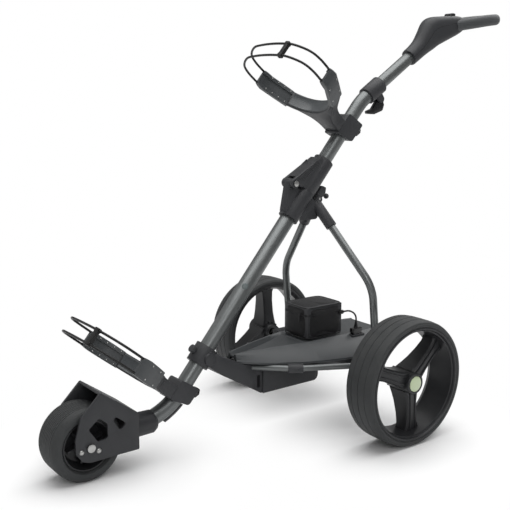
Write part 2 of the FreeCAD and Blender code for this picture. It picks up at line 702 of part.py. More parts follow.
def make_front_bracket():
    """A moulded bracket from the pivot collar down and back to the motor trough."""
    collar = SPINE.multVec(Vector(0, 0, PIVOT_ALONG))
    outline = [(collar.y - 2, collar.z + 20, 8), (collar.y - 2, collar.z - 18, 6),
               (TROUGH_FRONT - 108, TROUGH_BOTTOM + 62, 20), (TROUGH_FRONT - 40, TROUGH_BOTTOM + 22, 20),
               (TROUGH_FRONT - 4, TROUGH_BOTTOM, 6), (TROUGH_FRONT, TROUGH_BOTTOM),
               (TROUGH_FRONT, TROUGH_BOTTOM + 62), (TROUGH_FRONT - 48, TROUGH_BOTTOM + 76, 10),
               (TROUGH_FRONT - 110, TROUGH_BOTTOM + 106, 20)]
    slot = [(TROUGH_FRONT - 14, TROUGH_BOTTOM + 14, 2), (TROUGH_FRONT - 5, TROUGH_BOTTOM + 14, 2),
            (TROUGH_FRONT - 5, TROUGH_BOTTOM + 44, 2), (TROUGH_FRONT - 14, TROUGH_BOTTOM + 44, 2)]
    body = side_plate("front_bracket_body", WORLD, "60", [outline], [("300", slot)])
    tube = cylinder("bracket_core", "Sizes.lower_tube_radius + 8", "200", at(SPINE, 0, 0, PIVOT_ALONG - 100))
    bosses = cylinder("bracket_bosses", "14", "80", at(SPINE, -40, 4, PIVOT_ALONG, ALONG_X))
    rails = [free_shape("bracket_rail", swept(chassis_path(side), CHASSIS_TUBE_RADIUS))
             for side in (-1, 1)]
    keep(cut("front_bracket_cut", body, tube, bosses, *rails), "front_bracket")


def make_chassis_tubes():
    pair = [tube_along(chassis_path(side), CHASSIS_TUBE_RADIUS,
                       d["chassis_tube_wall"])
            for side in (-1, 1)]
    keep(free_shape("chassis_tube_pair", Part.makeCompound(pair)), "chassis_tubes")


def make_chassis_clips():
    """A saddle clip with a screw on each chassis tube."""
    clips = []
    for side in (-1, 1):
        arc = chassis_path(side).Edges[1]
        middle = (arc.FirstParameter + arc.LastParameter) / 2
        centre, heading = arc.valueAt(middle), arc.tangentAt(middle)
        block = bar_between(centre - heading * CLIP_HALF, centre + heading * CLIP_HALF,
                            CHASSIS_TUBE_RADIUS + 3.5)
        screw = Part.makeCylinder(3.5, 3, centre + Vector(side * (CHASSIS_TUBE_RADIUS + 3.2), 0, 0),
                                  Vector(side, 0, 0))
        bore = swept(chassis_path(side), CHASSIS_TUBE_RADIUS)
        clips.append(block.fuse(screw).cut(bore))
    keep(free_shape("chassis_clip_shapes", clips[0].fuse(clips[1])), "chassis_clips")


def make_trough():
    """The motor controller's trough under the tray, open at its top, and the board inside."""
    outline = [(TROUGH_FRONT, TROUGH_BOTTOM), (TROUGH_REAR, TROUGH_BOTTOM, 14),
               (TROUGH_REAR, TROUGH_BOTTOM + 58), (TROUGH_FRONT, TROUGH_BOTTOM + 58)]
    inside = [(TROUGH_FRONT + 4, TROUGH_BOTTOM + 4), (TROUGH_REAR - 4, TROUGH_BOTTOM + 4, 10),
              (TROUGH_REAR - 4, TROUGH_BOTTOM + 70), (TROUGH_FRONT + 4, TROUGH_BOTTOM + 70)]
    keep(side_plate("trough_body", WORLD, "70", [outline], [("62", inside)]), "motor_trough")
    keep(box("board", 52, 96, 10, Placement(Vector(-26, TROUGH_FRONT + 12, TROUGH_BOTTOM + 4), ALONG_Z)),
         "controller_board")


def tray_section(half_bottom, bottom, half_top, top):
    return [(-half_bottom, bottom), (half_bottom, bottom), (half_top, top), (-half_top, top)]


def tray_loft(label, inset):
    """The delta-shaped cover, lofted from its nose to its tail; the inset makes its inside."""
    body = new_body(label)
    deck = d["deck_height"]
    stations = [(TRAY_NOSE_Y, 24, deck - 22, 18, deck - 6),
                (d["battery_y"] - 70, 92, deck - 30, d["deck_half_width"], deck),
                (TRAY_REAR_Y, 134, deck - 44, d["deck_half_width"], deck)]
    sketches = []
    for index, (y, half_bottom, bottom, half_top, top) in enumerate(stations):
        shift = inset if index == 0 else -inset if index == 2 else 0
        corners = tray_section(half_bottom - 1.6 * inset, bottom - 4 * inset, half_top - inset, top - inset)
        sketches.append(add_sketch(body, "XZ_Plane", [corners], -(y + shift)))
    loft = body.newObject("PartDesign::AdditiveLoft", "loft")
    loft.Profile = sketches[0]
    loft.Sections = sketches[1:]
    loft.Ruled = True
    return body


TRAY_FLOOR = d["deck_height"] - 27
SOCKET_HEIGHT = 22.0


def socket_outer(label, height):
    return box(label, 20, 40, height, Placement(
        Vector(PLUG.x - 10, PLUG.y - 20, TRAY_FLOOR + 3), ALONG_Z))


def make_tray():
    """The battery tray: a hollow cover over a flat floor, both carried on the chassis tubes."""
    wall = d["tray_wall"]
    rails = [free_shape("tray_rail", swept(chassis_path(side),
                                           CHASSIS_TUBE_RADIUS + 3)) for side in (-1, 1)]
    keep(cut("tray_cut", tray_loft("tray_outer", 0), tray_loft("tray_inner", wall),
             socket_outer("cover_socket_room", 2 * SOCKET_HEIGHT), *rails), "tray_cover")
    slab = box("floor_slab", 400, 600, 3, Placement(Vector(-200, TROUGH_FRONT + 2, TRAY_FLOOR), ALONG_Z))
    floor = doc.addObject("Part::Common", "floor_common")
    floor.Base = slab
    floor.Tool = tray_loft("floor_inner", wall)
    gear_room = box("gear_room", 44, 100, 30, Placement(
        Vector(-22, d["rear_axle_y"] - 60, TRAY_FLOOR - 10), ALONG_Z))
    keep(cut("tray_floor_cut", floor, gear_room), "tray_base")


def make_power_socket():
    """The socket on the tray's left side, open at its top, that takes the battery plug."""
    well = box("socket_well", 12.6, 32.6, 40, Placement(PLUG + Vector(-6.3, -16.3, -1.2), ALONG_Z))
    keep(cut("socket_cut", socket_outer("socket_block", SOCKET_HEIGHT), well), "power_socket")


# ---------------------------------------------------------------- rear drive
AXLE_FRAME = Placement(Vector(0, d["rear_axle_y"], REAR_Z), Rotation())
GEAR_RADIUS = d["gear_module"] * d["gear_teeth"] / 2
PINION_RADIUS = d["gear_module"] * d["pinion_teeth"] / 2
PINION_ANGLE = 348.0
PINION_FRAME = at(AXLE_FRAME, 0,
                  (GEAR_RADIUS + PINION_RADIUS) * math.cos(math.radians(PINION_ANGLE)),
                  (GEAR_RADIUS + PINION_RADIUS) * math.sin(math.radians(PINION_ANGLE)))


def toothed_disc(frame, teeth, facing):
    """A spur gear along X with straight-flanked teeth; one gap faces the given angle."""
    module = d["gear_module"]
    pitch = module * teeth / 2
    step = 2 * math.pi / teeth
    points = []
    for index in range(int(teeth)):
        middle = math.radians(facing) + (index + 0.5) * step
        for radius, share in ((pitch - 1.3 * module, -0.30), (pitch + 0.9 * module, -0.13),
                              (pitch + 0.9 * module, 0.13), (pitch - 1.3 * module, 0.30)):
            angle = middle + share * step
            points.append(Vector(-d["gear_width"] / 2, radius * math.cos(angle), radius * math.sin(angle)))
    disc = Part.Face(Part.makePolygon(points + points[:1])).extrude(Vector(d["gear_width"], 0, 0))
    disc.Placement = frame
    return disc


def make_axle():
    """The drive axle with its gear, turning in two bearings, and the housing round it."""
    half = HALF_TRACK + d["axle_end_reach"]
    rod = Part.makeCylinder(d["axle_radius"], 2 * half, Vector(-half, 0, 0), Vector(1, 0, 0))
    rod.Placement = AXLE_FRAME
    keep(free_shape("drive_axle_rod", rod), "drive_axle")
    gear = toothed_disc(AXLE_FRAME, d["gear_teeth"], PINION_ANGLE).cut(rod)
    keep(free_shape("axle_gear_disc", gear), "axle_gear")
    bearing_half = d["bearing_span"] / 2
    rings = []
    for start in (-bearing_half - 7, bearing_half - 7):
        outer = cylinder("bearing_outer", "Sizes.bearing_radius", "14", at(AXLE_FRAME, start, 0, 0, ALONG_X))
        inner = cylinder("bearing_inner", "Sizes.axle_radius + Sizes.running_clearance", "14",
                         at(AXLE_FRAME, start, 0, 0, ALONG_X))
        rings.append(cut("bearing_ring", outer, inner))
    keep(fuse("bearing_pair", *rings), "axle_bearings")


def make_axle_housing():
    """A gear case with a tube each way to an end block, which holds a bearing and a stay's foot."""
    case_half = d["gear_width"] / 2 + 6
    outer_radius = GEAR_RADIUS + d["gear_module"] + 2 + d["case_wall"]
    case = Part.makeCylinder(outer_radius, 2 * case_half, Vector(-case_half, 0, 0), Vector(1, 0, 0))
    pinion = AXLE_FRAME.inverse().multiply(PINION_FRAME).Base
    lobe = Part.makeCylinder(PINION_RADIUS + d["gear_module"] + 6, 2 * case_half,
                             Vector(-case_half, pinion.y, pinion.z), Vector(1, 0, 0))
    tube_half = d["bearing_span"] / 2 + 8
    tube = Part.makeCylinder(d["housing_radius"], 2 * tube_half, Vector(-tube_half, 0, 0), Vector(1, 0, 0))
    solid = case.fuse(lobe).fuse(tube)
    for side in (-1, 1):
        centre = side * d["stay_spread"]
        block = Part.makeBox(30, 60, d["housing_radius"] * 2 + 6,
                             Vector(centre - 15, -34, -d["housing_radius"]))
        solid = solid.fuse(block)
    inner_half = d["gear_width"] / 2 + 2
    hollow = Part.makeCylinder(GEAR_RADIUS + d["gear_module"] + 1, 2 * inner_half,
                               Vector(-inner_half, 0, 0), Vector(1, 0, 0))
    lobe_hollow = Part.makeCylinder(PINION_RADIUS + d["gear_module"] + 1, 2 * inner_half,
                                    Vector(-inner_half, pinion.y, pinion.z), Vector(1, 0, 0))
    axle_hole = Part.makeCylinder(d["axle_radius"] + 2, 600, Vector(-300, 0, 0), Vector(1, 0, 0))
    solid = solid.cut(hollow).cut(lobe_hollow).cut(axle_hole)
    for start in (-tube_half - 60, d["bearing_span"] / 2 - 7):
        seat = Part.makeCylinder(d["bearing_radius"], 75, Vector(start, 0, 0), Vector(1, 0, 0))
        solid = solid.cut(seat)
    shaft_hole = Part.makeCylinder(d["motor_shaft_radius"] + d["running_clearance"], 60,
                                   Vector(-60, pinion.y, pinion.z), Vector(1, 0, 0))
    solid = solid.cut(shaft_hole)
    solid.Placement = AXLE_FRAME
    for side in (-1, 1):
        solid = solid.cut(swept(STAY_PATHS[side], d["stay_radius"]))
        solid = solid.cut(swept(chassis_path(side), CHASSIS_TUBE_RADIUS))
    keep(free_shape("axle_housing_shape", solid), "axle_housing")


def make_motor():
    """The motor on the gear case's right side, and the pinion shaft that it turns."""
    case_half = d["gear_width"] / 2 + 6
    can = cylinder("motor_can", "Sizes.motor_radius", "Sizes.motor_length",
                   at(PINION_FRAME, -case_half - d["motor_length"], 0, 0, ALONG_X))
    bore = cylinder("motor_bore", "Sizes.motor_shaft_radius + Sizes.running_clearance", "30",
                    at(PINION_FRAME, -case_half - 22, 0, 0, ALONG_X))
    tube = cylinder("motor_axle_room", "Sizes.housing_radius + 0.5", "300",
                    at(AXLE_FRAME, -200, 0, 0, ALONG_X))
    keep(cut("motor_cut", can, bore, tube), "motor")
    shaft = Part.makeCylinder(d["motor_shaft_radius"], case_half + 26,
                              Vector(-case_half - 20, 0, 0), Vector(1, 0, 0))
    shaft.Placement = PINION_FRAME
    teeth = toothed_disc(PINION_FRAME, d["pinion_teeth"], PINION_ANGLE - 180 + 180 / d["pinion_teeth"])
    keep(free_shape("pinion_shape", teeth.fuse(shaft)), "motor_pinion")


SPOKE_ANGLES = {"left": (8, 128, 248), "right": (60, 180, 300)}
SPOKE_WIDTH = 26.0
SPOKE_DEPTH = 34.0
SPOKE_ROOT = Vector(d["axle_radius"] - 2, -SPOKE_WIDTH / 2, -SPOKE_DEPTH / 2)


def make_rear_wheels():
    """Two wide wheels: a tyre on a deep rim with three spokes, keyed to the drive axle."""
    outer, half = d["rear_radius"], d["rear_width"] / 2
    seat = outer - 11
    for side, name in ((1, "left"), (-1, "right")):
        frame = at(AXLE_FRAME, side * HALF_TRACK, 0, 0, ALONG_X)
        tyre = [(seat, -half + 3), (seat + 3, -half, 1), (outer - 5, -half, 2.5),
                (outer - 1.2, -half + 10, 8),
                (outer, -12, 20), (outer, 12, 20), (outer - 1.2, half - 10, 8), (outer - 5, half, 2.5),
                (seat + 3, half, 1), (seat, half - 3)]
        keep(turned(name + "_tyre_body", frame, tyre), "rear_tyre_" + name)
        barrel = turned(name + "_barrel", frame,
                        [(seat, -half + 3), (seat, half - 3), (seat - 9, half - 1), (seat - 9, half - 8),
                         (seat - 12, half - 14), (seat - 12, -half + 14), (seat - 9, -half + 1)])
        hub = cylinder(name + "_hub", "Sizes.hub_radius", "Sizes.hub_length",
                       at(frame, 0, 0, -d["hub_length"] / 2))
        spokes = [box(name + "_spoke", seat - 14, SPOKE_WIDTH, SPOKE_DEPTH,
                      at(frame, 0, 0, 0, Rotation(Vector(0, 0, 1), angle)).multiply(
                          Placement(SPOKE_ROOT, Rotation())))
                  for angle in SPOKE_ANGLES[name]]
        bore_half = HALF_TRACK + d["rear_width"]
        bore = free_shape(name + "_rim_bore", Part.makeCylinder(
            d["axle_radius"], 2 * bore_half, AXLE_FRAME.Base - Vector(bore_half, 0, 0), Vector(1, 0, 0)))
        pocket_start = d["axle_end_reach"] if side > 0 else -d["axle_end_reach"] - 30
        pocket = cylinder(name + "_release_bore", "Sizes.release_radius + Sizes.running_clearance", "30",
                          at(frame, 0, 0, pocket_start))
        solid = fuse(name + "_rim_solid", barrel, hub, *spokes)
        keep(cut(name + "_rim_cut", solid, bore, pocket), "rear_rim_" + name)
        cap_start = HALF_TRACK + d["axle_end_reach"] + d["release_travel"]
        cap_radius = d["release_radius"]
        cap = turned(name + "_cap", at(AXLE_FRAME, 0, 0, 0, ALONG_X),
                     [(0, side * cap_start), (cap_radius, side * cap_start),
                      (cap_radius, side * (cap_start + 6)),
                      (cap_radius - 5, side * (cap_start + 8.5)), (0, side * (cap_start + 9.5))])
        keep(cap, "hub_release_" + name)


# ---------------------------------------------------------------- battery
BAG_LOW = Vector(-d["battery_width"] / 2, d["battery_y"] - d["battery_depth"] / 2, d["deck_height"] + 0.3)
PLUG = Vector(d["deck_half_width"] + 9, d["battery_y"] + 85, d["deck_height"] - 13)
PLUG_TOP = PLUG + Vector(0, 0, 44)
LEAD_EXIT = Vector(d["battery_width"] / 2 - 5, d["battery_y"] + d["battery_depth"] / 2, BAG_LOW.z + 52)
LEAD_POINTS = [LEAD_EXIT, LEAD_EXIT + Vector(0, 7.2, 0), LEAD_EXIT + Vector(4.7, 16.5, 1),
               LEAD_EXIT + Vector(13.9, 22.1, -2.2), PLUG_TOP + Vector(0, 0, 9.9), PLUG_TOP]


def make_battery():
    """The battery bag with its pack inside, and the plug at the end of its short lead."""
    wall = 4
    bag = box("bag_outer", "Sizes.battery_width", "Sizes.battery_depth", "Sizes.battery_height",
              Placement(BAG_LOW, ALONG_Z))
    inside = box("bag_inner", f"Sizes.battery_width - {2 * wall}", f"Sizes.battery_depth - {2 * wall}",
                 f"Sizes.battery_height - {2 * wall}",
                 Placement(BAG_LOW + Vector(wall, wall, wall), ALONG_Z))
    keep(cut("bag_cut", bag, inside), "battery_bag")
    pack = box("pack_block", f"Sizes.battery_width - {2 * wall}", f"Sizes.battery_depth - {2 * wall}",
               f"Sizes.battery_height - {2 * wall}",
               Placement(BAG_LOW + Vector(wall, wall, wall), ALONG_Z))
    keep(pack, "battery_pack")
    lower = box("plug_body", 12, 26, 16, Placement(PLUG + Vector(-6, -13, -0.6), ALONG_Z))
    wings = box("plug_grip", 12, 32, 12, Placement(PLUG + Vector(-6, -16, 14), ALONG_Z))
    relief = doc.addObject("Part::Cone", "plug_relief")
    relief.Radius1 = 6
    relief.setExpression("Radius2", "Sizes.lead_radius + 0.6")
    relief.Height = 18
    relief.Placement = Placement(PLUG + Vector(0, 0, 26), ALONG_Z)
    keep(fuse("plug_solid", lower, wings, relief), "lead_plug")


def make_lead():
    """The lead's route: straight runs and arcs as large as the runs allow."""
    radii = []
    for before, here, after in zip(LEAD_POINTS, LEAD_POINTS[1:], LEAD_POINTS[2:]):
        turn = (here - before).getAngle(after - here)
        shorter = min((here - before).Length, (after - here).Length)
        radii.append(0.45 * shorter / math.tan(turn / 2))
    path = rounded_path(LEAD_POINTS, radii)
    tube = swept(path, d["lead_radius"])
    expected = math.pi * d["lead_radius"] ** 2 * path.Length
    print("lead: length", round(path.Length, 1), "radii", [round(r, 1) for r in radii],
          "volume ratio", round(tube.Volume / expected, 4))
    keep(free_shape("battery_lead_tube", tube), "battery_lead")


# ---------------------------------------------------------------- handle
LEVER_Y = 31.0
LEVER_Z = 50.0


def make_height_collar():
    """The clamp round the upper tube's mouth, with two ears below for the cam lever."""
    start, end = d["collar_start"], d["collar_end"]
    ring = cylinder("collar_outer", "Sizes.collar_radius", "Sizes.collar_end - Sizes.collar_start",
                    at(HANDLE, 0, 0, start))
    ears = side_plate("collar_ears", HANDLE, "26", [
        [(0, LEVER_Z - 9), (LEVER_Y, LEVER_Z - 8, 6), (LEVER_Y + 7, LEVER_Z, 6), (LEVER_Y, LEVER_Z + 9, 6),
         (0, LEVER_Z + 9)]])
    slot = box("lever_slot", 13, 40, 60, at(HANDLE, -6.5, d["collar_radius"] - 1, LEVER_Z - 30))
    hole = cylinder("lever_hole", "Sizes.lever_pin_radius", "40", at(HANDLE, -20, LEVER_Y, LEVER_Z, ALONG_X))
    tube = free_shape("collar_tube", UPPER_SOLID)
    mouth = cylinder("collar_mouth", "Sizes.upper_tube_radius - Sizes.tube_wall + 0.6", "40",
                     at(HANDLE, 0, 0, end - 10))
    clamp = cut("height_collar_cut", fuse("height_collar_solid", ring, ears), slot, hole, tube, mouth)
    pin = cylinder("lever_pin_rod", "Sizes.lever_pin_radius", "26",
                   at(HANDLE, -13, LEVER_Y, LEVER_Z, ALONG_X))
    keep(fuse("height_collar_with_pin", clamp, pin), "height_collar")


def make_clamp_lever():
    """The cam lever that closes the height collar, on a pin through the collar's ears."""
    arm = side_plate("lever_arm", HANDLE, "12", [
        [(LEVER_Y - 7, LEVER_Z, 6), (LEVER_Y + 1, LEVER_Z + 8, 7), (LEVER_Y + 16, LEVER_Z + 6, 6),
         (LEVER_Y + 25, LEVER_Z - 6, 6), (LEVER_Y + 17, LEVER_Z - 34, 12), (LEVER_Y + 5, LEVER_Z - 50, 4),
         (LEVER_Y - 1, LEVER_Z - 47, 3), (LEVER_Y + 4, LEVER_Z - 30, 8), (LEVER_Y - 3, LEVER_Z - 10, 6)]])
    hole = cylinder("lever_bore", "Sizes.lever_pin_radius + Sizes.running_clearance", "40",
                    at(HANDLE, -20, LEVER_Y, LEVER_Z, ALONG_X))
    keep(cut("clamp_lever_cut", arm, hole), "clamp_lever")


NECK = HANDLE.multVec(Vector(0, 0, d["neck_along"]))
HEAD = Placement(NECK, Rotation())
SPLIT_LINE = [(0, 0), (66, 48), (160, 80)]
CONSOLE_TOP = [(-12, 17), (33, 48, 20), (46, 92, 12), (162, 105)]
CONSOLE_BOTTOM = [(158, 68), (138, 46, 30), (64, 20, 60), (11, -18)]
CONSOLE_PLAN = [(21, -25), (21, 20, 60), (31, 90, 60), (31, 175)]
DIAL_Y = 140.0
BUTTON_Y = 104.0


def shrunk(corners, wall):
    """A straight-sided closed outline moved inwards by a wall; the corners run clockwise."""
    lines = []
    for index, here in enumerate(corners):
        after = corners[(index + 1) % len(corners)]
        run = Vector(after[0] - here[0], after[1] - here[1], 0).normalize()
        inwards = Vector(run.y, -run.x, 0) * wall
        lines.append((Vector(here[0], here[1], 0) + inwards, run))
    moved = []
    for index, (point, run) in enumerate(lines):
        before, heading = lines[index - 1]
        share = (point - before).cross(run).z / heading.cross(run).z
        moved.append(before + heading * share)
    return [(corner.x, corner.y) for corner in moved]


def make_handle_head():
    """Two hollow shells that close over the tube's end, and the looped grip behind them."""
    hollow = shrunk([corner[:2] for corner in CONSOLE_TOP + CONSOLE_BOTTOM], d["shell_wall"])
    outlines = {"top": CONSOLE_TOP + SPLIT_LINE[::-1],
                "bottom": SPLIT_LINE + CONSOLE_BOTTOM}
    grip = make_grip()
    for name, outline in outlines.items():
        side = side_plate(f"console_{name}_side", HEAD, "Sizes.console_width", [outline],
                          [("Sizes.console_width - 2 * Sizes.shell_wall - 10", hollow)])
        body = doc.addObject("Part::Common", f"console_{name}_body")
        body.Base = side
        body.Tool = console_plan(name)
        neck = cylinder(f"console_{name}_neck", "Sizes.upper_tube_radius + 3", "34",
                        at(HANDLE, 0, 0, d["neck_along"]))
        half = Part.Face(Part.makePolygon([HEAD.multVec(Vector(-40, y, z)) for y, z in
                                           outline_polygon(outline)])).extrude(Vector(80, 0, 0))
        sleeve = doc.addObject("Part::Common", f"console_{name}_sleeve")
        sleeve.Base = neck
        sleeve.Tool = free_shape(f"console_{name}_half", half)
        tube_room = cylinder("shell_tube_room",
                             "Sizes.upper_tube_radius - Sizes.tube_wall - Sizes.running_clearance",
                             "400", at(HANDLE, 0, 0, d["handle_tube_end"] - 400))
        room = free_shape("grip_room", grip)
        keep(cut(f"console_{name}_cut", fuse(f"console_{name}", body, sleeve), tube_room, room,
                 *console_holes(name)), f"handle_{name}_shell")
    make_controls()


def console_plan(name):
    """The console seen from above: slim at the neck, wide at the grip."""
    plan = new_body(f"console_{name}_plan", HEAD)
    mirrored = [(-x, *rest) for x, *rest in reversed(CONSOLE_PLAN)]
    section_pad(plan, outline_edges(CONSOLE_PLAN + mirrored), -60, "220")
    return plan


def outline_polygon(outline):
    points = [corner[:2] for corner in outline]
    return points + points[:1]


def on_top(y, sink):
    """A frame on the console's sloping top, Z outwards, sunk below the face."""
    (front_y, front_z, _), (rear_y, rear_z) = CONSOLE_TOP[2:]
    slope = (rear_z - front_z) / (rear_y - front_y)
    turn = Rotation(Vector(1, 0, 0), math.degrees(math.atan(slope)))
    face = at(HEAD, 0, y, front_z + slope * (y - front_y), turn)
    return at(face, 0, 0, -sink)


def console_holes(name):
    """The top shell has wells for the dial and the button; the bottom shell has none."""
    if name != "top":
        return []
    dial = cylinder("dial_well", "Sizes.dial_stem_radius + Sizes.running_clearance", "20", on_top(DIAL_Y, 10))
    button = cylinder("button_well", "Sizes.button_radius + Sizes.running_clearance", "30",
                      on_top(BUTTON_Y, 12))
    return [dial, button]


def make_controls():
    cap = cylinder("dial_cap", "Sizes.dial_radius", "9", on_top(DIAL_Y, -0.4))
    stem = cylinder("dial_stem", "Sizes.dial_stem_radius", "9", on_top(DIAL_Y, 8))
    keep(fuse("dial_solid", cap, stem), "speed_dial")
    keep(cylinder("button_solid", "Sizes.button_radius", "11.5", on_top(BUTTON_Y, 9)), "power_button")


def make_grip():
    """A D-shaped loop: two rails from the console joined by a crossbar."""
    radius = 12.5
    half = d["console_width"] / 2 - 6
    outline = [(half - 10, 140, 79), (half + 4, 172, 84), (half + 13, 228, 93), (half + 3, 300, 101)]
    points = outline + [(-x, y, z) for x, y, z in reversed(outline)]
    path = rounded_path([HEAD.multVec(Vector(*point)) for point in points], [40, 90, 26, 26, 90, 40])
    loop = swept(path, radius)
    keep(free_shape("grip_loop", loop), "grip_loop")
    return loop


# ---------------------------------------------------------------- build, check and export
def check(nodes):
    """Stop on any object that failed to recompute, and on any null or broken sub-part."""
    for item in doc.Objects:
        if "Invalid" in item.State or "Error" in item.State:
            raise RuntimeError(f"{item.Label} failed: {item.State}")
    for node in nodes:
        if node.Shape.isNull() or not node.Shape.isValid():
            raise RuntimeError(f"{node.Label} has no valid shape")
        if node.Shape.Volume <= 0:
            raise RuntimeError(f"{node.Label} has no volume")


make_main_tubes()
make_bend_guard()
make_fork()
make_fork_collar()
make_front_axle()
make_fork_screws()
make_front_wheel()
make_lower_knuckle()
make_upper_knuckle()
make_hinge_pins()
make_stays()
make_stay_yoke()
make_latch()
make_cradles()
make_pivot_collar()
make_front_bracket()
make_chassis_tubes()
make_chassis_clips()
make_trough()
make_tray()
make_power_socket()
make_axle()
make_axle_housing()
make_motor()
make_rear_wheels()
make_battery()
make_lead()
make_height_collar()
make_clamp_lever()
make_handle_head()
doc.recompute()
check(NODES)
os.makedirs("parts", exist_ok=True)
for node in NODES:
    node.Shape.exportStep(f"parts/{node.Label}.step")
print(len(NODES), "sub-parts written")
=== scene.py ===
"""Electric golf trolley: finished surfaces and soft parts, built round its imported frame."""

import json
import math

import bmesh
import bpy
from mathutils import Euler, Matrix, Vector


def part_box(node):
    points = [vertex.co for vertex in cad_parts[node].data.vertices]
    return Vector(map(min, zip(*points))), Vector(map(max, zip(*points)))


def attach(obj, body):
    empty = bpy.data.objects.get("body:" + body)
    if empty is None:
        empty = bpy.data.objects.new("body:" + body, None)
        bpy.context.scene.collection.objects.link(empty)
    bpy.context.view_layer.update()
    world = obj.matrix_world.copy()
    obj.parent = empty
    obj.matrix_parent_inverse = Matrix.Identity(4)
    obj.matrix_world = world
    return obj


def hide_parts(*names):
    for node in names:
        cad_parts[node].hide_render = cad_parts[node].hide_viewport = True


bl_info = {
    "name": "Golf Trolley Finisher",
    "version": (1, 0, 0),
    "blender": (4, 5, 0),
    "location": "View3D > Sidebar > Trolley",
    "description": "Builds the finished pieces of an electric golf trolley on its frame",
    "category": "Add Mesh",
}

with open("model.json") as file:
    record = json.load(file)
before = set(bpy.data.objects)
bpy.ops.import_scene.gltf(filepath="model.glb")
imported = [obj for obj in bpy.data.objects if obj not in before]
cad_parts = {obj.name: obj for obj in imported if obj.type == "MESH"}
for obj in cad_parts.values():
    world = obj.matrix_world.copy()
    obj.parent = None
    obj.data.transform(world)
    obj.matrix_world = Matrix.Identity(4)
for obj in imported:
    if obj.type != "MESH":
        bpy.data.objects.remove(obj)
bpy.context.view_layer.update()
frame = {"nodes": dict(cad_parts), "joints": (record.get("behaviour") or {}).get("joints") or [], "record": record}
MM = 0.001


# ------------------------------------------------------------------ places read from the frame
def mount_place(name):
    found = next(m for m in frame["record"]["mounts"] if m["name"] == name)
    return Vector(found["pos_m"]), Vector(found["axis"])


def find_joint(name):
    return next(j for j in frame["joints"] if j["name"] == name)


def basis_of(*directions):
    """A turning matrix whose columns are three directions."""
    return Matrix(directions).transposed().to_4x4()


def tube_frame(point, along):
    """A frame whose Z runs along a tube and whose Y points below it, as the trolley stands."""
    along = along.normalized()
    below = Vector((1, 0, 0)).cross(along) * -1
    return Matrix.Translation(point) @ basis_of(Vector((1, 0, 0)), below, along)


CRADLE_REACH = 0.207
LOWER_CRADLE_ALONG = 0.056
UPPER_CRADLE_ALONG = 0.781
HANDLE_MOUNT_ALONG = 0.1355
NECK_ALONG = 0.199

_cradle, _spine_axis = mount_place("lower_bag_cradle")
_stem, _handle_axis = mount_place("accessory_tube")
SPINE = tube_frame(_cradle, _spine_axis) @ Matrix.Translation((0, CRADLE_REACH, -LOWER_CRADLE_ALONG))
HANDLE = tube_frame(_stem, _handle_axis) @ Matrix.Translation((0, 0, -HANDLE_MOUNT_ALONG))
NECK = HANDLE @ Vector((0, 0, NECK_ALONG))
REAR_AXLE = Vector(find_joint("axle_spin")["pos_m"])
FRONT_AXLE = Vector(find_joint("front_wheel_spin")["pos_m"])


def node_centre(name):
    low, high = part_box(name)
    return (low + high) / 2


# ------------------------------------------------------------------ settings
class FinishSettings(bpy.types.PropertyGroup):
    """Colours of the painted and moulded pieces."""

    tube_colour: bpy.props.FloatVectorProperty(
        name="Tube paint", description="Satin gunmetal paint on every tube",
        subtype="COLOR", size=3, default=(0.150, 0.158, 0.158), min=0, max=1)
    moulding_colour: bpy.props.FloatVectorProperty(
        name="Black moulding", description="Glass-filled nylon brackets and clamps",
        subtype="COLOR", size=3, default=(0.030, 0.031, 0.034), min=0, max=1)
    shell_colour: bpy.props.FloatVectorProperty(
        name="Grey shell", description="Tray cover and bag cradles",
        subtype="COLOR", size=3, default=(0.047, 0.051, 0.054), min=0, max=1)
    tyre_colour: bpy.props.FloatVectorProperty(
        name="Tyre", description="Soft foam tyres",
        subtype="COLOR", size=3, default=(0.026, 0.028, 0.029), min=0, max=1)
    accent_colour: bpy.props.FloatVectorProperty(
        name="Accent", description="Pale green caps and labels",
        subtype="COLOR", size=3, default=(0.50, 0.58, 0.38), min=0, max=1)


class WheelSettings(bpy.types.PropertyGroup):
    """Sizes of the wheels' finished pieces."""

    rear_grooves: bpy.props.IntProperty(
        name="Rear grooves", description="Fine grooves round each rear tyre", default=3, min=0, max=12)
    front_grooves: bpy.props.IntProperty(
        name="Front grooves", description="Fine grooves round the front tyre", default=9, min=0, max=16)
    groove_depth: bpy.props.FloatProperty(
        name="Groove depth", description="Depth of a tyre groove",
        default=0.0011, min=0, max=0.004, unit="LENGTH")
    lip_radius: bpy.props.FloatProperty(
        name="Rim lip", description="Radius of the rear rim's opening",
        default=0.122, min=0.09, max=0.13, unit="LENGTH")
    spoke_width: bpy.props.FloatProperty(
        name="Spoke width", description="Width of a rear spoke at the hub",
        default=0.034, min=0.01, max=0.06, unit="LENGTH")


class BagSettings(bpy.types.PropertyGroup):
    """Sizes of the battery bag and its lead."""

    puff: bpy.props.FloatProperty(
        name="Puff", description="How far the padded walls may swell",
        default=0.005, min=0, max=0.015, unit="LENGTH")
    label_radius: bpy.props.FloatProperty(
        name="Label radius", description="Radius of the plain round label on the bag",
        default=0.0225, min=0.005, max=0.04, unit="LENGTH")
    lead_diameter: bpy.props.FloatProperty(
        name="Lead diameter", description="Diameter of the battery lead",
        default=0.0042, min=0.002, max=0.008, unit="LENGTH")


# ------------------------------------------------------------------ mesh tools
def place(name, mesh):
    piece = bpy.data.objects.new(name, mesh)
    bpy.context.scene.collection.objects.link(piece)
    return piece


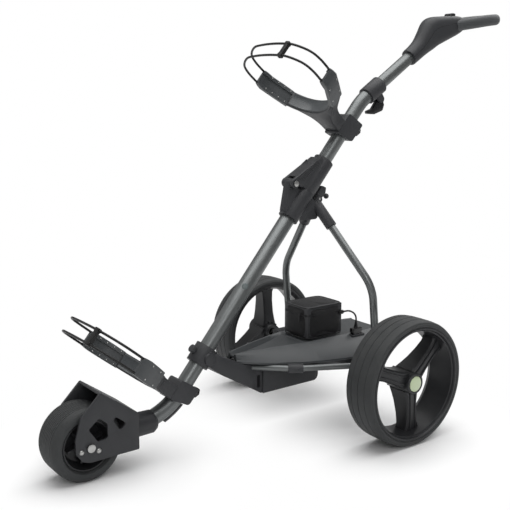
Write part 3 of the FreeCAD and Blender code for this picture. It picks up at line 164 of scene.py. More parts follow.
def from_bmesh(name, bm, smooth_angle=32):
    """A linked object from a bmesh, smooth except across sharp edges."""
    bmesh.ops.remove_doubles(bm, verts=bm.verts, dist=1e-6)
    bmesh.ops.recalc_face_normals(bm, faces=bm.faces)
    mesh = bpy.data.meshes.new(name)
    bm.to_mesh(mesh)
    bm.free()
    mesh.shade_smooth()
    mesh.set_sharp_from_angle(angle=math.radians(smooth_angle))
    return place(name, mesh)


def add_loft(bm, rings, closed=True, capped=True):
    """Skin through rings of the same number of points."""
    rows = [[bm.verts.new(point) for point in ring] for ring in rings]
    count = len(rows[0])
    for row, after in zip(rows, rows[1:]):
        for index in range(count if closed else count - 1):
            step = (index + 1) % count
            bm.faces.new((row[index], row[step], after[step], after[index]))
    if capped:
        bm.faces.new(rows[0][::-1])
        bm.faces.new(rows[-1])


def add_lathe(bm, profile, centre, axis, segments=96, closed=True):
    """Turn (along, radius) points about an axis; a closed profile makes a solid ring."""
    turn = axis.to_track_quat("Z", "Y").to_matrix()
    rings = []
    for step in range(segments):
        angle = 2 * math.pi * step / segments
        out = turn @ Vector((math.cos(angle), math.sin(angle), 0))
        rings.append([bm.verts.new(centre + axis * along + out * radius) for along, radius in profile])
    count = len(profile)
    for step in range(segments):
        here, after = rings[step], rings[(step + 1) % segments]
        for index in range(count if closed else count - 1):
            other = (index + 1) % count
            corners = (here[index], here[other], after[other], after[index])
            bm.faces.new(corners)


def superellipse(half_width, half_height, power, count=40):
    """Points of a rounded section, from a circle (power 2) to nearly a rectangle."""
    points = []
    for step in range(count):
        angle = 2 * math.pi * step / count
        across, up = math.cos(angle), math.sin(angle)
        points.append((half_width * math.copysign(abs(across) ** (2 / power), across),
                       half_height * math.copysign(abs(up) ** (2 / power), up)))
    return points


def add_box(bm, size, matrix, bevel=0.0):
    """A box with rounded edges, placed by a matrix."""
    made = bmesh.ops.create_cube(bm, size=1, matrix=matrix @ Matrix.Diagonal((*size, 1)))
    if bevel:
        edges = []
        for vert in made["verts"]:
            edges += [edge for edge in vert.link_edges if edge not in edges]
        bmesh.ops.bevel(bm, geom=edges, offset=bevel, segments=3, profile=0.6, affect="EDGES")


def smooth_path(points, samples=8, closed=False):
    """Points on a curve through the given ones."""
    count = len(points)
    result = []
    spans = count if closed else count - 1
    for index in range(spans):
        around = [points[(index + shift) % count] if closed
                  else points[min(max(index + shift, 0), count - 1)] for shift in (-1, 0, 1, 2)]
        before, here, there, after = around
        for step in range(samples):
            share = step / samples
            result.append(0.5 * ((2 * here) + (there - before) * share
                                 + (2 * before - 5 * here + 4 * there - after) * share ** 2
                                 + (3 * here - before - 3 * there + after) * share ** 3))
    if not closed:
        result.append(points[-1].copy())
    return result


def path_frames(points, closed=False):
    """A tangent and two normals at each point, turning as little as possible."""
    count = len(points)
    tangents = []
    for index in range(count):
        ahead = points[(index + 1) % count] if closed else points[min(index + 1, count - 1)]
        back = points[index - 1] if closed else points[max(index - 1, 0)]
        tangents.append((ahead - back).normalized())
    normal = tangents[0].orthogonal().normalized()
    frames = []
    for tangent in tangents:
        normal = (normal - tangent * normal.dot(tangent)).normalized()
        frames.append((tangent, normal, tangent.cross(normal)))
    return frames


def add_round_bar(bm, points, radius, count=16, closed=False):
    """A round bar along points; the radius may be a number or a function of the share along."""
    frames = path_frames(points, closed)
    rings = []
    for index, (point, (_, normal, side)) in enumerate(zip(points, frames)):
        size = radius(index / (len(points) - 1)) if callable(radius) else radius
        rings.append([point + (normal * math.cos(turn) + side * math.sin(turn)) * size
                      for turn in (2 * math.pi * step / count for step in range(count))])
    add_loft(bm, rings + rings[:1] if closed else rings, capped=not closed)


def finish_piece(piece, body, finish, replaced=()):
    """Give a piece its finish, its body and the CAD nodes that it stands for."""
    piece.data.materials.clear()
    piece.data.materials.append(material_of(finish))
    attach(piece, body)
    if replaced:
        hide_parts(*replaced)
    return piece


def soften_node(name, finish, width=0.0008, angle=35):
    """Give a CAD node its finish, small rounded edges and smooth curved faces."""
    node = frame["nodes"][name]
    node.data.materials.clear()
    node.data.materials.append(material_of(finish))
    node.data.shade_smooth()
    weld = node.modifiers.new("Weld", "WELD")
    weld.merge_threshold = 1e-5
    bevel = node.modifiers.new("Rounded edges", "BEVEL")
    bevel.width = width
    bevel.segments = 2
    bevel.limit_method = "ANGLE"
    bevel.angle_limit = math.radians(angle)
    bevel.use_clamp_overlap = True
    bevel.harden_normals = True


# ------------------------------------------------------------------ shader groups
def new_group(name, inputs, outputs):
    group = bpy.data.node_groups.new(name, "ShaderNodeTree")
    for label, kind, value in inputs:
        socket = group.interface.new_socket(name=label, in_out="INPUT", socket_type=kind)
        socket.default_value = value
    for label, kind in outputs:
        group.interface.new_socket(name=label, in_out="OUTPUT", socket_type=kind)
    start = group.nodes.new("NodeGroupInput")
    end = group.nodes.new("NodeGroupOutput")
    return group, start, end


def math_node(tree, operation, first, second=None, clamp=False, offset=None):
    node = tree.nodes.new("ShaderNodeMath")
    node.operation = operation
    node.use_clamp = clamp
    for socket, value in zip(node.inputs, (first, second, offset)):
        if value is None:
            continue
        if isinstance(value, (int, float)):
            socket.default_value = value
        else:
            tree.links.new(value, socket)
    return node.outputs[0]


def noise(tree, coordinates, scale, detail=3.0, roughness=0.55):
    node = tree.nodes.new("ShaderNodeTexNoise")
    node.inputs["Detail"].default_value = detail
    node.inputs["Roughness"].default_value = roughness
    tree.links.new(coordinates, node.inputs["Vector"])
    if isinstance(scale, (int, float)):
        node.inputs["Scale"].default_value = scale
    else:
        tree.links.new(scale, node.inputs["Scale"])
    return node.outputs["Fac"]


def mix_colour(tree, factor, first, second):
    node = tree.nodes.new("ShaderNodeMix")
    node.data_type = "RGBA"
    for socket, value in ((node.inputs[0], factor), (node.inputs[6], first), (node.inputs[7], second)):
        if isinstance(value, (int, float, tuple)):
            socket.default_value = value
        else:
            tree.links.new(value, socket)
    return node.outputs[2]


def spread(tree, value, low, high):
    """Map 0..1 noise onto a range given by two sockets or numbers."""
    node = tree.nodes.new("ShaderNodeMapRange")
    node.inputs["From Min"].default_value = 0.3
    node.inputs["From Max"].default_value = 0.7
    tree.links.new(value, node.inputs["Value"])
    for label, bound in (("To Min", low), ("To Max", high)):
        if isinstance(bound, (int, float)):
            node.inputs[label].default_value = bound
        else:
            tree.links.new(bound, node.inputs[label])
    return node.outputs[0]


def build_grain_group():
    """Moulded or painted grain: colour drift, roughness drift and a fine height."""
    group, start, end = new_group(
        "Surface Grain",
        [("Colour", "NodeSocketColor", (0.05, 0.05, 0.05, 1)), ("Drift", "NodeSocketFloat", 0.2),
         ("Patch Scale", "NodeSocketFloat", 12), ("Grain Scale", "NodeSocketFloat", 900),
         ("Rough Low", "NodeSocketFloat", 0.35), ("Rough High", "NodeSocketFloat", 0.5)],
        [("Colour", "NodeSocketColor"), ("Roughness", "NodeSocketFloat"), ("Height", "NodeSocketFloat")])
    place_node = group.nodes.new("ShaderNodeTexCoord")
    here = place_node.outputs["Object"]
    patches = noise(group, here, start.outputs["Patch Scale"], 4)
    fine = noise(group, here, start.outputs["Grain Scale"], 2)
    lighter = mix_colour(group, 0.10, start.outputs["Colour"], (0.4, 0.4, 0.4, 1))
    amount = math_node(group, "MULTIPLY", spread(group, patches, 0.0, 1.0), start.outputs["Drift"])
    colour = mix_colour(group, amount, start.outputs["Colour"], lighter)
    both = math_node(group, "ADD", math_node(group, "MULTIPLY", patches, 0.7),
                     math_node(group, "MULTIPLY", fine, 0.3))
    rough = spread(group, both, start.outputs["Rough Low"], start.outputs["Rough High"])
    group.links.new(colour, end.inputs["Colour"])
    group.links.new(rough, end.inputs["Roughness"])
    group.links.new(fine, end.inputs["Height"])
    return group


def build_dust_group():
    """Pale dust that settles on faces that look up, broken up by noise."""
    group, start, end = new_group(
        "Settled Dust",
        [("Colour", "NodeSocketColor", (0.05, 0.05, 0.05, 1)), ("Amount", "NodeSocketFloat", 0.1)],
        [("Colour", "NodeSocketColor"), ("Mask", "NodeSocketFloat")])
    geometry = group.nodes.new("ShaderNodeNewGeometry")
    split = group.nodes.new("ShaderNodeSeparateXYZ")
    group.links.new(geometry.outputs["Normal"], split.inputs[0])
    place_node = group.nodes.new("ShaderNodeTexCoord")
    cloudy = noise(group, place_node.outputs["Object"], 35, 5, 0.65)
    upward = math_node(group, "MAXIMUM", split.outputs["Z"], 0.0)
    mask = math_node(group, "MULTIPLY", math_node(group, "MULTIPLY", upward, spread(group, cloudy, 0.0, 1.0)),
                     start.outputs["Amount"], clamp=True)
    colour = mix_colour(group, mask, start.outputs["Colour"], (0.42, 0.40, 0.37, 1))
    group.links.new(colour, end.inputs["Colour"])
    group.links.new(mask, end.inputs["Mask"])
    return group


def build_rib_group():
    """Fine parallel lines along one axis, as a height and a mask."""
    group, start, end = new_group(
        "Fine Lines",
        [("Lines Per Metre", "NodeSocketFloat", 300), ("Waver", "NodeSocketFloat", 0.3)],
        [("Height", "NodeSocketFloat"), ("Mask", "NodeSocketFloat")])
    place_node = group.nodes.new("ShaderNodeTexCoord")
    split = group.nodes.new("ShaderNodeSeparateXYZ")
    group.links.new(place_node.outputs["Object"], split.inputs[0])
    drift = noise(group, place_node.outputs["Object"], 14, 2)
    turns = math_node(group, "MULTIPLY", split.outputs["X"], start.outputs["Lines Per Metre"])
    shifted = math_node(group, "ADD", turns, math_node(group, "MULTIPLY", drift, start.outputs["Waver"]))
    wave = math_node(group, "SINE", math_node(group, "MULTIPLY", shifted, 2 * math.pi))
    height = math_node(group, "MULTIPLY_ADD", wave, 0.5)
    group.links.new(height, end.inputs["Height"])
    group.links.new(spread(group, drift, 0.0, 1.0), end.inputs["Mask"])
    return group


def build_weave_group():
    """A plain weave of crossing threads on two axes."""
    group, start, end = new_group(
        "Plain Weave", [("Threads Per Metre", "NodeSocketFloat", 900)],
        [("Height", "NodeSocketFloat"), ("Shade", "NodeSocketFloat")])
    place_node = group.nodes.new("ShaderNodeTexCoord")
    split = group.nodes.new("ShaderNodeSeparateXYZ")
    group.links.new(place_node.outputs["Object"], split.inputs[0])
    sideways = math_node(group, "ADD", split.outputs["X"], split.outputs["Y"])
    waves = []
    for source in (sideways, math_node(group, "ADD", split.outputs["Z"], math_node(
            group, "MULTIPLY", split.outputs["Y"], 0.5))):
        turns = math_node(group, "MULTIPLY", source, start.outputs["Threads Per Metre"])
        waves.append(math_node(group, "SINE", math_node(group, "MULTIPLY", turns, math.pi)))
    cross = math_node(group, "MULTIPLY", waves[0], waves[1])
    height = math_node(group, "ABSOLUTE", cross)
    worn = noise(group, place_node.outputs["Object"], 30, 4)
    group.links.new(height, end.inputs["Height"])
    group.links.new(spread(group, worn, 0.0, 1.0), end.inputs["Shade"])
    return group


GROUPS = {}


def shader_group(name):
    builders = {"Surface Grain": build_grain_group, "Settled Dust": build_dust_group,
                "Fine Lines": build_rib_group, "Plain Weave": build_weave_group}
    if name not in GROUPS:
        GROUPS[name] = builders[name]()
    return GROUPS[name]


def use_group(tree, name, values):
    node = tree.nodes.new("ShaderNodeGroup")
    node.node_tree = shader_group(name)
    for label, value in values.items():
        node.inputs[label].default_value = value
    return node


# ------------------------------------------------------------------ materials
def surface(name, colour, metallic=0.0, rough=(0.4, 0.55), drift=0.15, grain=900, bump=0.1,
                patch=12, dust=0.0, coat=0.0, sheen=0.0, lines=None, weave=None, specular=0.32):
    """A finished material: grain, optional fine lines or a weave whose thread gaps are painted darker as shade,
    and optional dust.
    """
    if name in bpy.data.materials:
        return bpy.data.materials[name]
    material = bpy.data.materials.new(name)
    material.use_nodes = True
    tree = material.node_tree
    shader = tree.nodes["Principled BSDF"]
    shader.inputs["Metallic"].default_value = metallic
    shader.inputs["Coat Weight"].default_value = coat
    shader.inputs["Sheen Weight"].default_value = sheen
    shader.inputs["Specular IOR Level"].default_value = specular
    grain_node = use_group(tree, "Surface Grain", {
        "Colour": (*colour, 1), "Drift": drift, "Patch Scale": patch, "Grain Scale": grain,
        "Rough Low": rough[0], "Rough High": rough[1]})
    colour_out, height_out = grain_node.outputs["Colour"], grain_node.outputs["Height"]
    if dust:
        dusty = use_group(tree, "Settled Dust", {"Amount": dust})
        tree.links.new(colour_out, dusty.inputs["Colour"])
        colour_out = dusty.outputs["Colour"]
    normal_out = add_bump(tree, height_out, bump, 0.0003)
    if lines:
        ribs = use_group(tree, "Fine Lines", {"Lines Per Metre": lines[0], "Waver": lines[1]})
        normal_out = add_bump(tree, ribs.outputs["Height"], lines[2], 0.001, normal_out)
    if weave:
        cloth = use_group(tree, "Plain Weave", {"Threads Per Metre": weave[0]})
        normal_out = add_bump(tree, cloth.outputs["Height"], weave[1], 0.0008, normal_out)
        # Worn patches of the cloth are lighter at random, and the low points between the threads are painted
        # darker as shade.
        faded = mix_colour(tree, cloth.outputs["Shade"], colour_out, (*[c * 1.9 for c in colour], 1))
        colour_out = mix_colour(tree, cloth.outputs["Height"], (*[c * 0.45 for c in colour], 1), faded)
    tree.links.new(colour_out, shader.inputs["Base Color"])
    tree.links.new(grain_node.outputs["Roughness"], shader.inputs["Roughness"])
    tree.links.new(normal_out, shader.inputs["Normal"])
    return material


def add_bump(tree, height, strength, distance, normal=None):
    bump = tree.nodes.new("ShaderNodeBump")
    bump.inputs["Strength"].default_value = strength
    bump.inputs["Distance"].default_value = distance
    tree.links.new(height, bump.inputs["Height"])
    if normal:
        tree.links.new(normal, bump.inputs["Normal"])
    return bump.outputs["Normal"]


# Each finish has its material's name, its colour, or a setting and a factor, and its surface values.
FINISHES = {
    "tube_paint": ("Gunmetal paint", ("tube_colour", 1.0),
        dict(metallic=0.72, rough=(0.30, 0.42), drift=0.12, grain=2600, bump=0.12, patch=25, dust=0.015)),
    "black_moulding": ("Black glass-filled nylon", ("moulding_colour", 1.0),
        dict(rough=(0.40, 0.56), drift=0.10, grain=1500, bump=0.22, dust=0.015)),
    "rim_moulding": ("Black rim moulding", ("moulding_colour", 0.62),
        dict(rough=(0.28, 0.42), drift=0.06, grain=1200, bump=0.14, dust=0.01)),
    "grey_shell": ("Grey satin shell", ("shell_colour", 1.0),
        dict(rough=(0.30, 0.42), drift=0.12, grain=1400, bump=0.12, dust=0.02)),
    "pad_shell": ("Cradle pad", ("shell_colour", 1.25),
        dict(rough=(0.24, 0.34), drift=0.10, grain=1000, bump=0.10, dust=0.01)),
    "gloss_black": ("Gloss black", (0.010, 0.010, 0.011),
        dict(rough=(0.16, 0.28), drift=0.05, grain=700, bump=0.05, coat=0.2)),
    "tyre_foam": ("Tyre foam", ("tyre_colour", 1.0),
        dict(rough=(0.52, 0.70), drift=0.38, grain=700, bump=0.30, patch=18, dust=0.03,
             lines=(420, 0.5, 0.25))),
    "grip_foam": ("Grip foam", (0.050, 0.053, 0.056),
        dict(rough=(0.50, 0.66), drift=0.15, grain=1700, bump=0.45, patch=30, dust=0.02, sheen=0.05)),
    "strap_rubber": ("Strap rubber", (0.006, 0.006, 0.006),
        dict(rough=(0.38, 0.52), drift=0.08, grain=1600, bump=0.2, patch=40)),
    "bag_nylon": ("Woven nylon", (0.0075, 0.0075, 0.0085),
        dict(rough=(0.62, 0.80), drift=0.12, grain=900, bump=0.15, patch=22, sheen=0.05, dust=0.01,
             weave=(620, 0.45))),
    "piping": ("Bag piping", (0.009, 0.009, 0.010),
        dict(rough=(0.45, 0.6), drift=0.1, grain=1500, bump=0.25)),
    "bright_steel": ("Zinc steel", (0.42, 0.42, 0.41),
        dict(metallic=1.0, rough=(0.22, 0.38), drift=0.15, grain=1200, bump=0.08)),
    "pale_accent": ("Pale label", ("accent_colour", 1.0),
        dict(rough=(0.25, 0.35), drift=0.08, grain=900, bump=0.04, coat=0.4)),
    "trim_button": ("Trim button", (0.10, 0.12, 0.12),
        dict(rough=(0.25, 0.35), drift=0.08, grain=900, bump=0.04)),
    "circuit_board": ("Circuit board", (0.02, 0.12, 0.05), dict(rough=(0.4, 0.55), grain=600, bump=0.1)),
    "natural_nylon": ("Natural nylon", (0.62, 0.60, 0.54), dict(rough=(0.4, 0.5), grain=900, bump=0.1)),
}


def material_of(finish):
    """The material of a named finish, made the first time that it is asked for."""
    name, colour, values = FINISHES[finish]
    if isinstance(colour[0], str):
        setting, factor = colour
        colour = tuple(factor * part for part in getattr(bpy.context.scene.trolley_finish, setting))
    return surface(name, colour, **values)


# ------------------------------------------------------------------ repeated pieces by geometry nodes
def build_screw_tree(material):
    """Pan-head screws on every point of a mesh, facing its normals."""
    tree = bpy.data.node_groups.new("Screw Heads", "GeometryNodeTree")
    tree.interface.new_socket(name="Geometry", in_out="INPUT", socket_type="NodeSocketGeometry")
    radius = tree.interface.new_socket(name="Head Radius", in_out="INPUT", socket_type="NodeSocketFloat")
    radius.default_value = 0.0035
    tree.interface.new_socket(name="Geometry", in_out="OUTPUT", socket_type="NodeSocketGeometry")
    nodes, links = tree.nodes, tree.links
    start, end = nodes.new("NodeGroupInput"), nodes.new("NodeGroupOutput")
    head = nodes.new("GeometryNodeMeshUVSphere")
    head.inputs["Segments"].default_value = 18
    head.inputs["Rings"].default_value = 8
    links.new(start.outputs["Head Radius"], head.inputs["Radius"])
    flat = nodes.new("GeometryNodeTransform")
    flat.inputs["Scale"].default_value = (1, 1, 0.5)
    links.new(head.outputs["Mesh"], flat.inputs["Geometry"])
    spread_out = nodes.new("GeometryNodeInstanceOnPoints")
    normal = nodes.new("GeometryNodeInputNormal")
    align = nodes.new("FunctionNodeAlignRotationToVector")
    align.axis = "Z"
    links.new(normal.outputs[0], align.inputs["Vector"])
    links.new(start.outputs["Geometry"], spread_out.inputs["Points"])
    links.new(flat.outputs[0], spread_out.inputs["Instance"])
    links.new(align.outputs[0], spread_out.inputs["Rotation"])
    real = nodes.new("GeometryNodeRealizeInstances")
    links.new(spread_out.outputs[0], real.inputs[0])
    finish = nodes.new("GeometryNodeSetMaterial")
    finish.inputs["Material"].default_value = material
    links.new(real.outputs[0], finish.inputs["Geometry"])
    links.new(finish.outputs[0], end.inputs[0])
    return tree


def screw_carrier(name, places):
    """A linked mesh of tiny faces at (point, outward) places, each facing outwards."""
    bm = bmesh.new()
    for point, outward in places:
        side = outward.orthogonal().normalized() * 1e-4
        other = outward.cross(side).normalized() * 1e-4
        bm.faces.new([bm.verts.new(point + offset) for offset in (side, other, -side)])
    bmesh.ops.recalc_face_normals(bm, faces=bm.faces)
    mesh = bpy.data.meshes.new(name)
    bm.to_mesh(mesh)
    bm.free()
    return place(name, mesh)


def add_screws(name, places, radius, body, node):
    """Screw heads at (point, outward) places, made by the screw tree and baked to a mesh."""
    tree = bpy.data.node_groups.get("Screw Heads") or build_screw_tree(material_of("bright_steel"))
    screws = baked(name, screw_carrier(name + "_places", places), tree, {"Head Radius": radius})
    finish_piece(screws, body, "bright_steel", (node,))


def baked(name, carrier, tree, inputs=None):
    """Evaluate a geometry tree on a carrier object and keep the result as a plain mesh."""
    modifier = carrier.modifiers.new("Tree", "NODES")
    modifier.node_group = tree
    for item in tree.interface.items_tree:
        if item.item_type == "SOCKET" and item.in_out == "INPUT" and inputs and item.name in inputs:
            modifier[item.identifier] = inputs[item.name]
    depsgraph = bpy.context.evaluated_depsgraph_get()
    mesh = bpy.data.meshes.new_from_object(carrier.evaluated_get(depsgraph))
    bpy.data.objects.remove(carrier)
    mesh.name = name
    mesh.shade_smooth()
    return place(name, mesh)


# ------------------------------------------------------------------ lead
LEAD_BODY = "battery"


def lead_route():
    """The lead's control points: straight out of the bag, round, and down into the plug."""
    plug_low, plug_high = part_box("lead_plug")
    top = Vector(((plug_low.x + plug_high.x) / 2, (plug_low.y + plug_high.y) / 2, plug_high.z))
    bag_low, bag_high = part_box("battery_bag")
    leave = Vector((bag_high.x - 0.005, bag_high.y, bag_low.z + 0.052))
    return [leave, leave + Vector((0, 0.0072, 0)), leave + Vector((0.0047, 0.0165, 0.0010)),
            leave + Vector((0.0139, 0.0221, -0.0022)), top + Vector((0, 0, 0.0099)), top]


class TROLLEY_OT_lead(bpy.types.Operator):
    """Build the battery lead and its plug"""

    bl_idname = "trolley.lead"
    bl_label = "Battery Lead"

    def execute(self, context):
        diameter = context.scene.trolley_bag.lead_diameter
        plug = self.build_plug()
        points = lead_route()
        curve = spline_curve("battery_lead_curve", points)
        curve.bevel_depth = diameter / 2
        curve.bevel_resolution = 4
        curve.use_fill_caps = True
        lead = place("battery_lead_cord", curve)
        finish_piece(lead, LEAD_BODY, "strap_rubber", ("battery_lead",))
        self.build_grommet(points[0], diameter)
        length = route_length(points)
        return {"FINISHED"}

    def build_grommet(self, leave, diameter):
        """A moulded boot that holds the lead where it leaves the bag."""
        size = diameter / 2
        profile = [(-0.0140, 0.0), (-0.0140, size + 0.0032), (-0.0012, size + 0.0030),
                   (0.0004, size + 0.0016), (0.0040, size + 0.0007), (0.0040, 0.0)]
        bm = bmesh.new()
        add_lathe(bm, profile, leave, Vector((0, 1, 0)), 24)
        finish_piece(from_bmesh("lead_grommet", bm), LEAD_BODY, "strap_rubber")

    def build_plug(self):
        """A two-part body with finger ridges each side and a ringed boot for the lead."""
        low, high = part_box("lead_plug")
        top = Vector(((low.x + high.x) / 2, (low.y + high.y) / 2, 0))
        foot = top + Vector((0, 0, low.z))
        bm = bmesh.new()
        add_box(bm, (0.0118, 0.0258, 0.0170), Matrix.Translation(foot + Vector((0, 0, 0.0090))), 0.0016)
        add_box(bm, (0.0118, 0.0318, 0.0118), Matrix.Translation(foot + Vector((0, 0, 0.0208))), 0.0030)
        for side in (-1, 1):
            for step in range(3):
                ridge = foot + Vector((0, side * 0.0158, 0.0176 + 0.0030 * step))
                add_box(bm, (0.0090, 0.0010, 0.0014), Matrix.Translation(ridge), 0.0004)
        profile = [(low.z + 0.0260, 0.0058)]
        for step in range(5):
            height = low.z + 0.0275 + 0.0030 * step
            size = 0.0054 - 0.0006 * step
            profile += [(height, size), (height + 0.0016, size), (height + 0.0018, size - 0.0009)]
        profile += [(high.z, 0.0026), (high.z, 0.0), (low.z + 0.0260, 0.0)]
        add_lathe(bm, profile, top, Vector((0, 0, 1)), 24)
        return finish_piece(from_bmesh("battery_plug", bm),
                            LEAD_BODY, "gloss_black", ("lead_plug",))


def spline_curve(name, points):
    """A smooth curve that starts and ends at its first and last control points."""
    curve = bpy.data.curves.new(name, "CURVE")
    curve.dimensions = "3D"
    spline = curve.splines.new("NURBS")
    spline.points.add(len(points) - 1)
    for target, point in zip(spline.points, points):
        target.co = (*point, 1)
    spline.order_u = 3
    spline.use_endpoint_u = True
    spline.resolution_u = 16
    return curve


def route_length(points):
    """Length of the smooth spline that the lead follows, measured on an unbevelled copy."""
    probe = place("measure", spline_curve("measure", points))
    mesh = bpy.data.meshes.new_from_object(probe.evaluated_get(bpy.context.evaluated_depsgraph_get()))
    ends = [[mesh.vertices[index].co for index in edge.vertices] for edge in mesh.edges]
    total = sum((there - here).length for here, there in ends)
    bpy.data.objects.remove(probe)
    bpy.data.meshes.remove(mesh)
    return total


# ------------------------------------------------------------------ wheels
def grooved_tread(half, radius, shoulder, count, depth):
    """Tread profile from one shoulder to the other, with fine V grooves."""
    points = []
    span = 2 * (half - shoulder)
    if not count:
        return [(-half + shoulder, radius), (half - shoulder, radius)]
    for index in range(count):
        middle = -half + shoulder + span * (index + 0.5) / count
        for offset, drop in ((-0.0011, 0), (-0.0005, depth), (0.0005, depth), (0.0011, 0)):
            crown = 0.0008 * (middle / half) ** 2
            points.append((middle + offset, radius - drop - crown))
    return points


REAR_SHOULDER = 0.011
FRONT_SHOULDER = 0.014
SPOKE_STARTS = {"left": 38, "right": 90}


class TROLLEY_OT_rear_wheels(bpy.types.Operator):
    """Build both rear tyres, rims and hub caps"""

    bl_idname = "trolley.rear_wheels"
    bl_label = "Rear Wheels"

    def execute(self, context):
        sizes = context.scene.trolley_wheels
        for side, name in ((1, "left"), (-1, "right")):
            low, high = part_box("rear_tyre_" + name)
            centre = (low + high) / 2
            half, radius = (high.x - low.x) / 2, (high.z - low.z) / 2
            outward = Vector((side, 0, 0))
            self.build_tyre(name, centre, outward, half, radius, sizes)
            self.build_rim(name, centre, outward, half, sizes)
            self.build_cap(name, centre, outward)
        return {"FINISHED"}

    def build_tyre(self, name, centre, outward, half, radius, sizes):
        seat = radius - 0.0145
        tread = grooved_tread(half, radius, REAR_SHOULDER, sizes.rear_grooves, sizes.groove_depth)
        corner = [(half - 0.007, radius - 0.0014), (half - 0.003, radius - 0.0035), (half, radius - 0.008)]
        profile = [(-half, seat)] + [(-along, size) for along, size in reversed(corner)] + tread + corner
        profile += [(half, seat + 0.003), (half - 0.002, seat), (0, seat - 0.002)]
        bm = bmesh.new()
        add_lathe(bm, profile, centre, outward, 160)
        finish_piece(from_bmesh("rear_tyre_skin_" + name, bm, 28),
                     "rear_wheelset", "tyre_foam", ("rear_tyre_" + name,))

    def build_rim(self, name, centre, outward, half, sizes):
        lip = sizes.lip_radius
        bm = bmesh.new()
        front = [(0.0015, 0.0058), (0.0003, 0.0040), (0.0003, 0.0010), (0.0030, -0.0008), (0.0060, -0.0012),
                 (0.0080, -0.0035), (0.0300, -0.0060)]
        back = [(0.0120, -0.0075), (0.0060, -0.0040), (0.0010, -0.0010), (0.0008, 0.0050)]
        barrel = [(half - depth, lip + rise) for depth, rise in front]
        barrel += [(-half + depth, lip + rise) for depth, rise in back] + [(0, lip + 0.0042)]
        add_lathe(bm, barrel, centre, outward, 128)
        self.add_hub(bm, centre, outward)
        for index in range(3):
            self.add_spoke(bm, centre, outward, SPOKE_STARTS[name] + 120 * index, lip, sizes.spoke_width)
        finish_piece(from_bmesh("rear_rim_casting_" + name, bm, 30),
                     "rear_wheelset", "rim_moulding", ("rear_rim_" + name,))

    def add_hub(self, bm, centre, outward):
        """A drum that tapers inwards, with ribs round it and a ring for the cap."""
        drum = [(0.0235, 0.0100), (0.0235, 0.0172), (0.0325, 0.0176), (0.0345, 0.0190), (0.0345, 0.0218),
                (0.0325, 0.0238), (0.0150, 0.0250), (-0.0300, 0.0215), (-0.0380, 0.0190), (-0.0400, 0.0170),
                (-0.0400, 0.0100)]
        add_lathe(bm, drum, centre, outward, 64)
        for index in range(12):
            angle = math.radians(30 * index + 8)
            out = Vector((0, math.cos(angle), math.sin(angle)))
            turn = basis_of(outward, out, outward.cross(out))
            place_at = Matrix.Translation(centre - outward * 0.012 + out * 0.0232) @ turn
            add_box(bm, (0.042, 0.0050, 0.0032), place_at, 0.0009)

    def add_spoke(self, bm, centre, outward, angle, lip, width):
        """One deep spoke: a web with rounded roots, and two raised ribs along its outer face."""
        turn = math.radians(angle)
        out = Vector((0, math.cos(turn), math.sin(turn)))
        across = outward.cross(out)
        stations = [(0.016, 0.62, 0.0235, -0.0300), (0.030, 0.52, 0.0225, -0.0290),
                    (0.050, 0.46, 0.0205, -0.0260), (0.080, 0.44, 0.0175, -0.0230),
                    (0.104, 0.50, 0.0150, -0.0210), (lip - 0.006, 0.66, 0.0135, -0.0215),
                    (lip - 0.001, 0.90, 0.0130, -0.0230)]
        rings = []
        for reach, share, front, back in stations:
            half_width = width * share
            corner = 0.0035
            ring = []
            for side_at, face_at in ((-1, front), (1, front), (1, back), (-1, back)):
                inwards = corner if face_at > 0 else -corner
                first = (side_at * half_width, face_at - inwards)
                second = (side_at * (half_width - corner), face_at)
                ring += [first, second] if side_at * face_at < 0 else [second, first]
            rings.append([centre + out * reach + across * u + outward * v for u, v in ring])
        add_loft(bm, rings)
        for side in (-1, 1):
            path = [centre + out * reach + across * side * width * share * 0.45 + outward * (front + 0.0006)
                    for reach, share, front, _ in stations[:-1]]
            add_round_bar(bm, path, 0.0019, 8)

    def build_cap(self, name, centre, outward):
        low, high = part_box("hub_release_" + name)
        face = max(abs(low.x), abs(high.x)) - abs(centre.x)
        bm = bmesh.new()
        dome = [(face - 0.0095, 0.0), (face - 0.0095, 0.0088)]
        dome += [(face - 0.0045, 0.0088), (face - 0.0040, 0.0170), (face - 0.0022, 0.0170),
                 (face - 0.0010, 0.0135), (face - 0.0003, 0.0070), (face, 0.0)]
        add_lathe(bm, dome, centre, outward, 48)
        finish_piece(from_bmesh("hub_cap_" + name, bm, 40),
                     "release_" + name, "pale_accent", ("hub_release_" + name,))


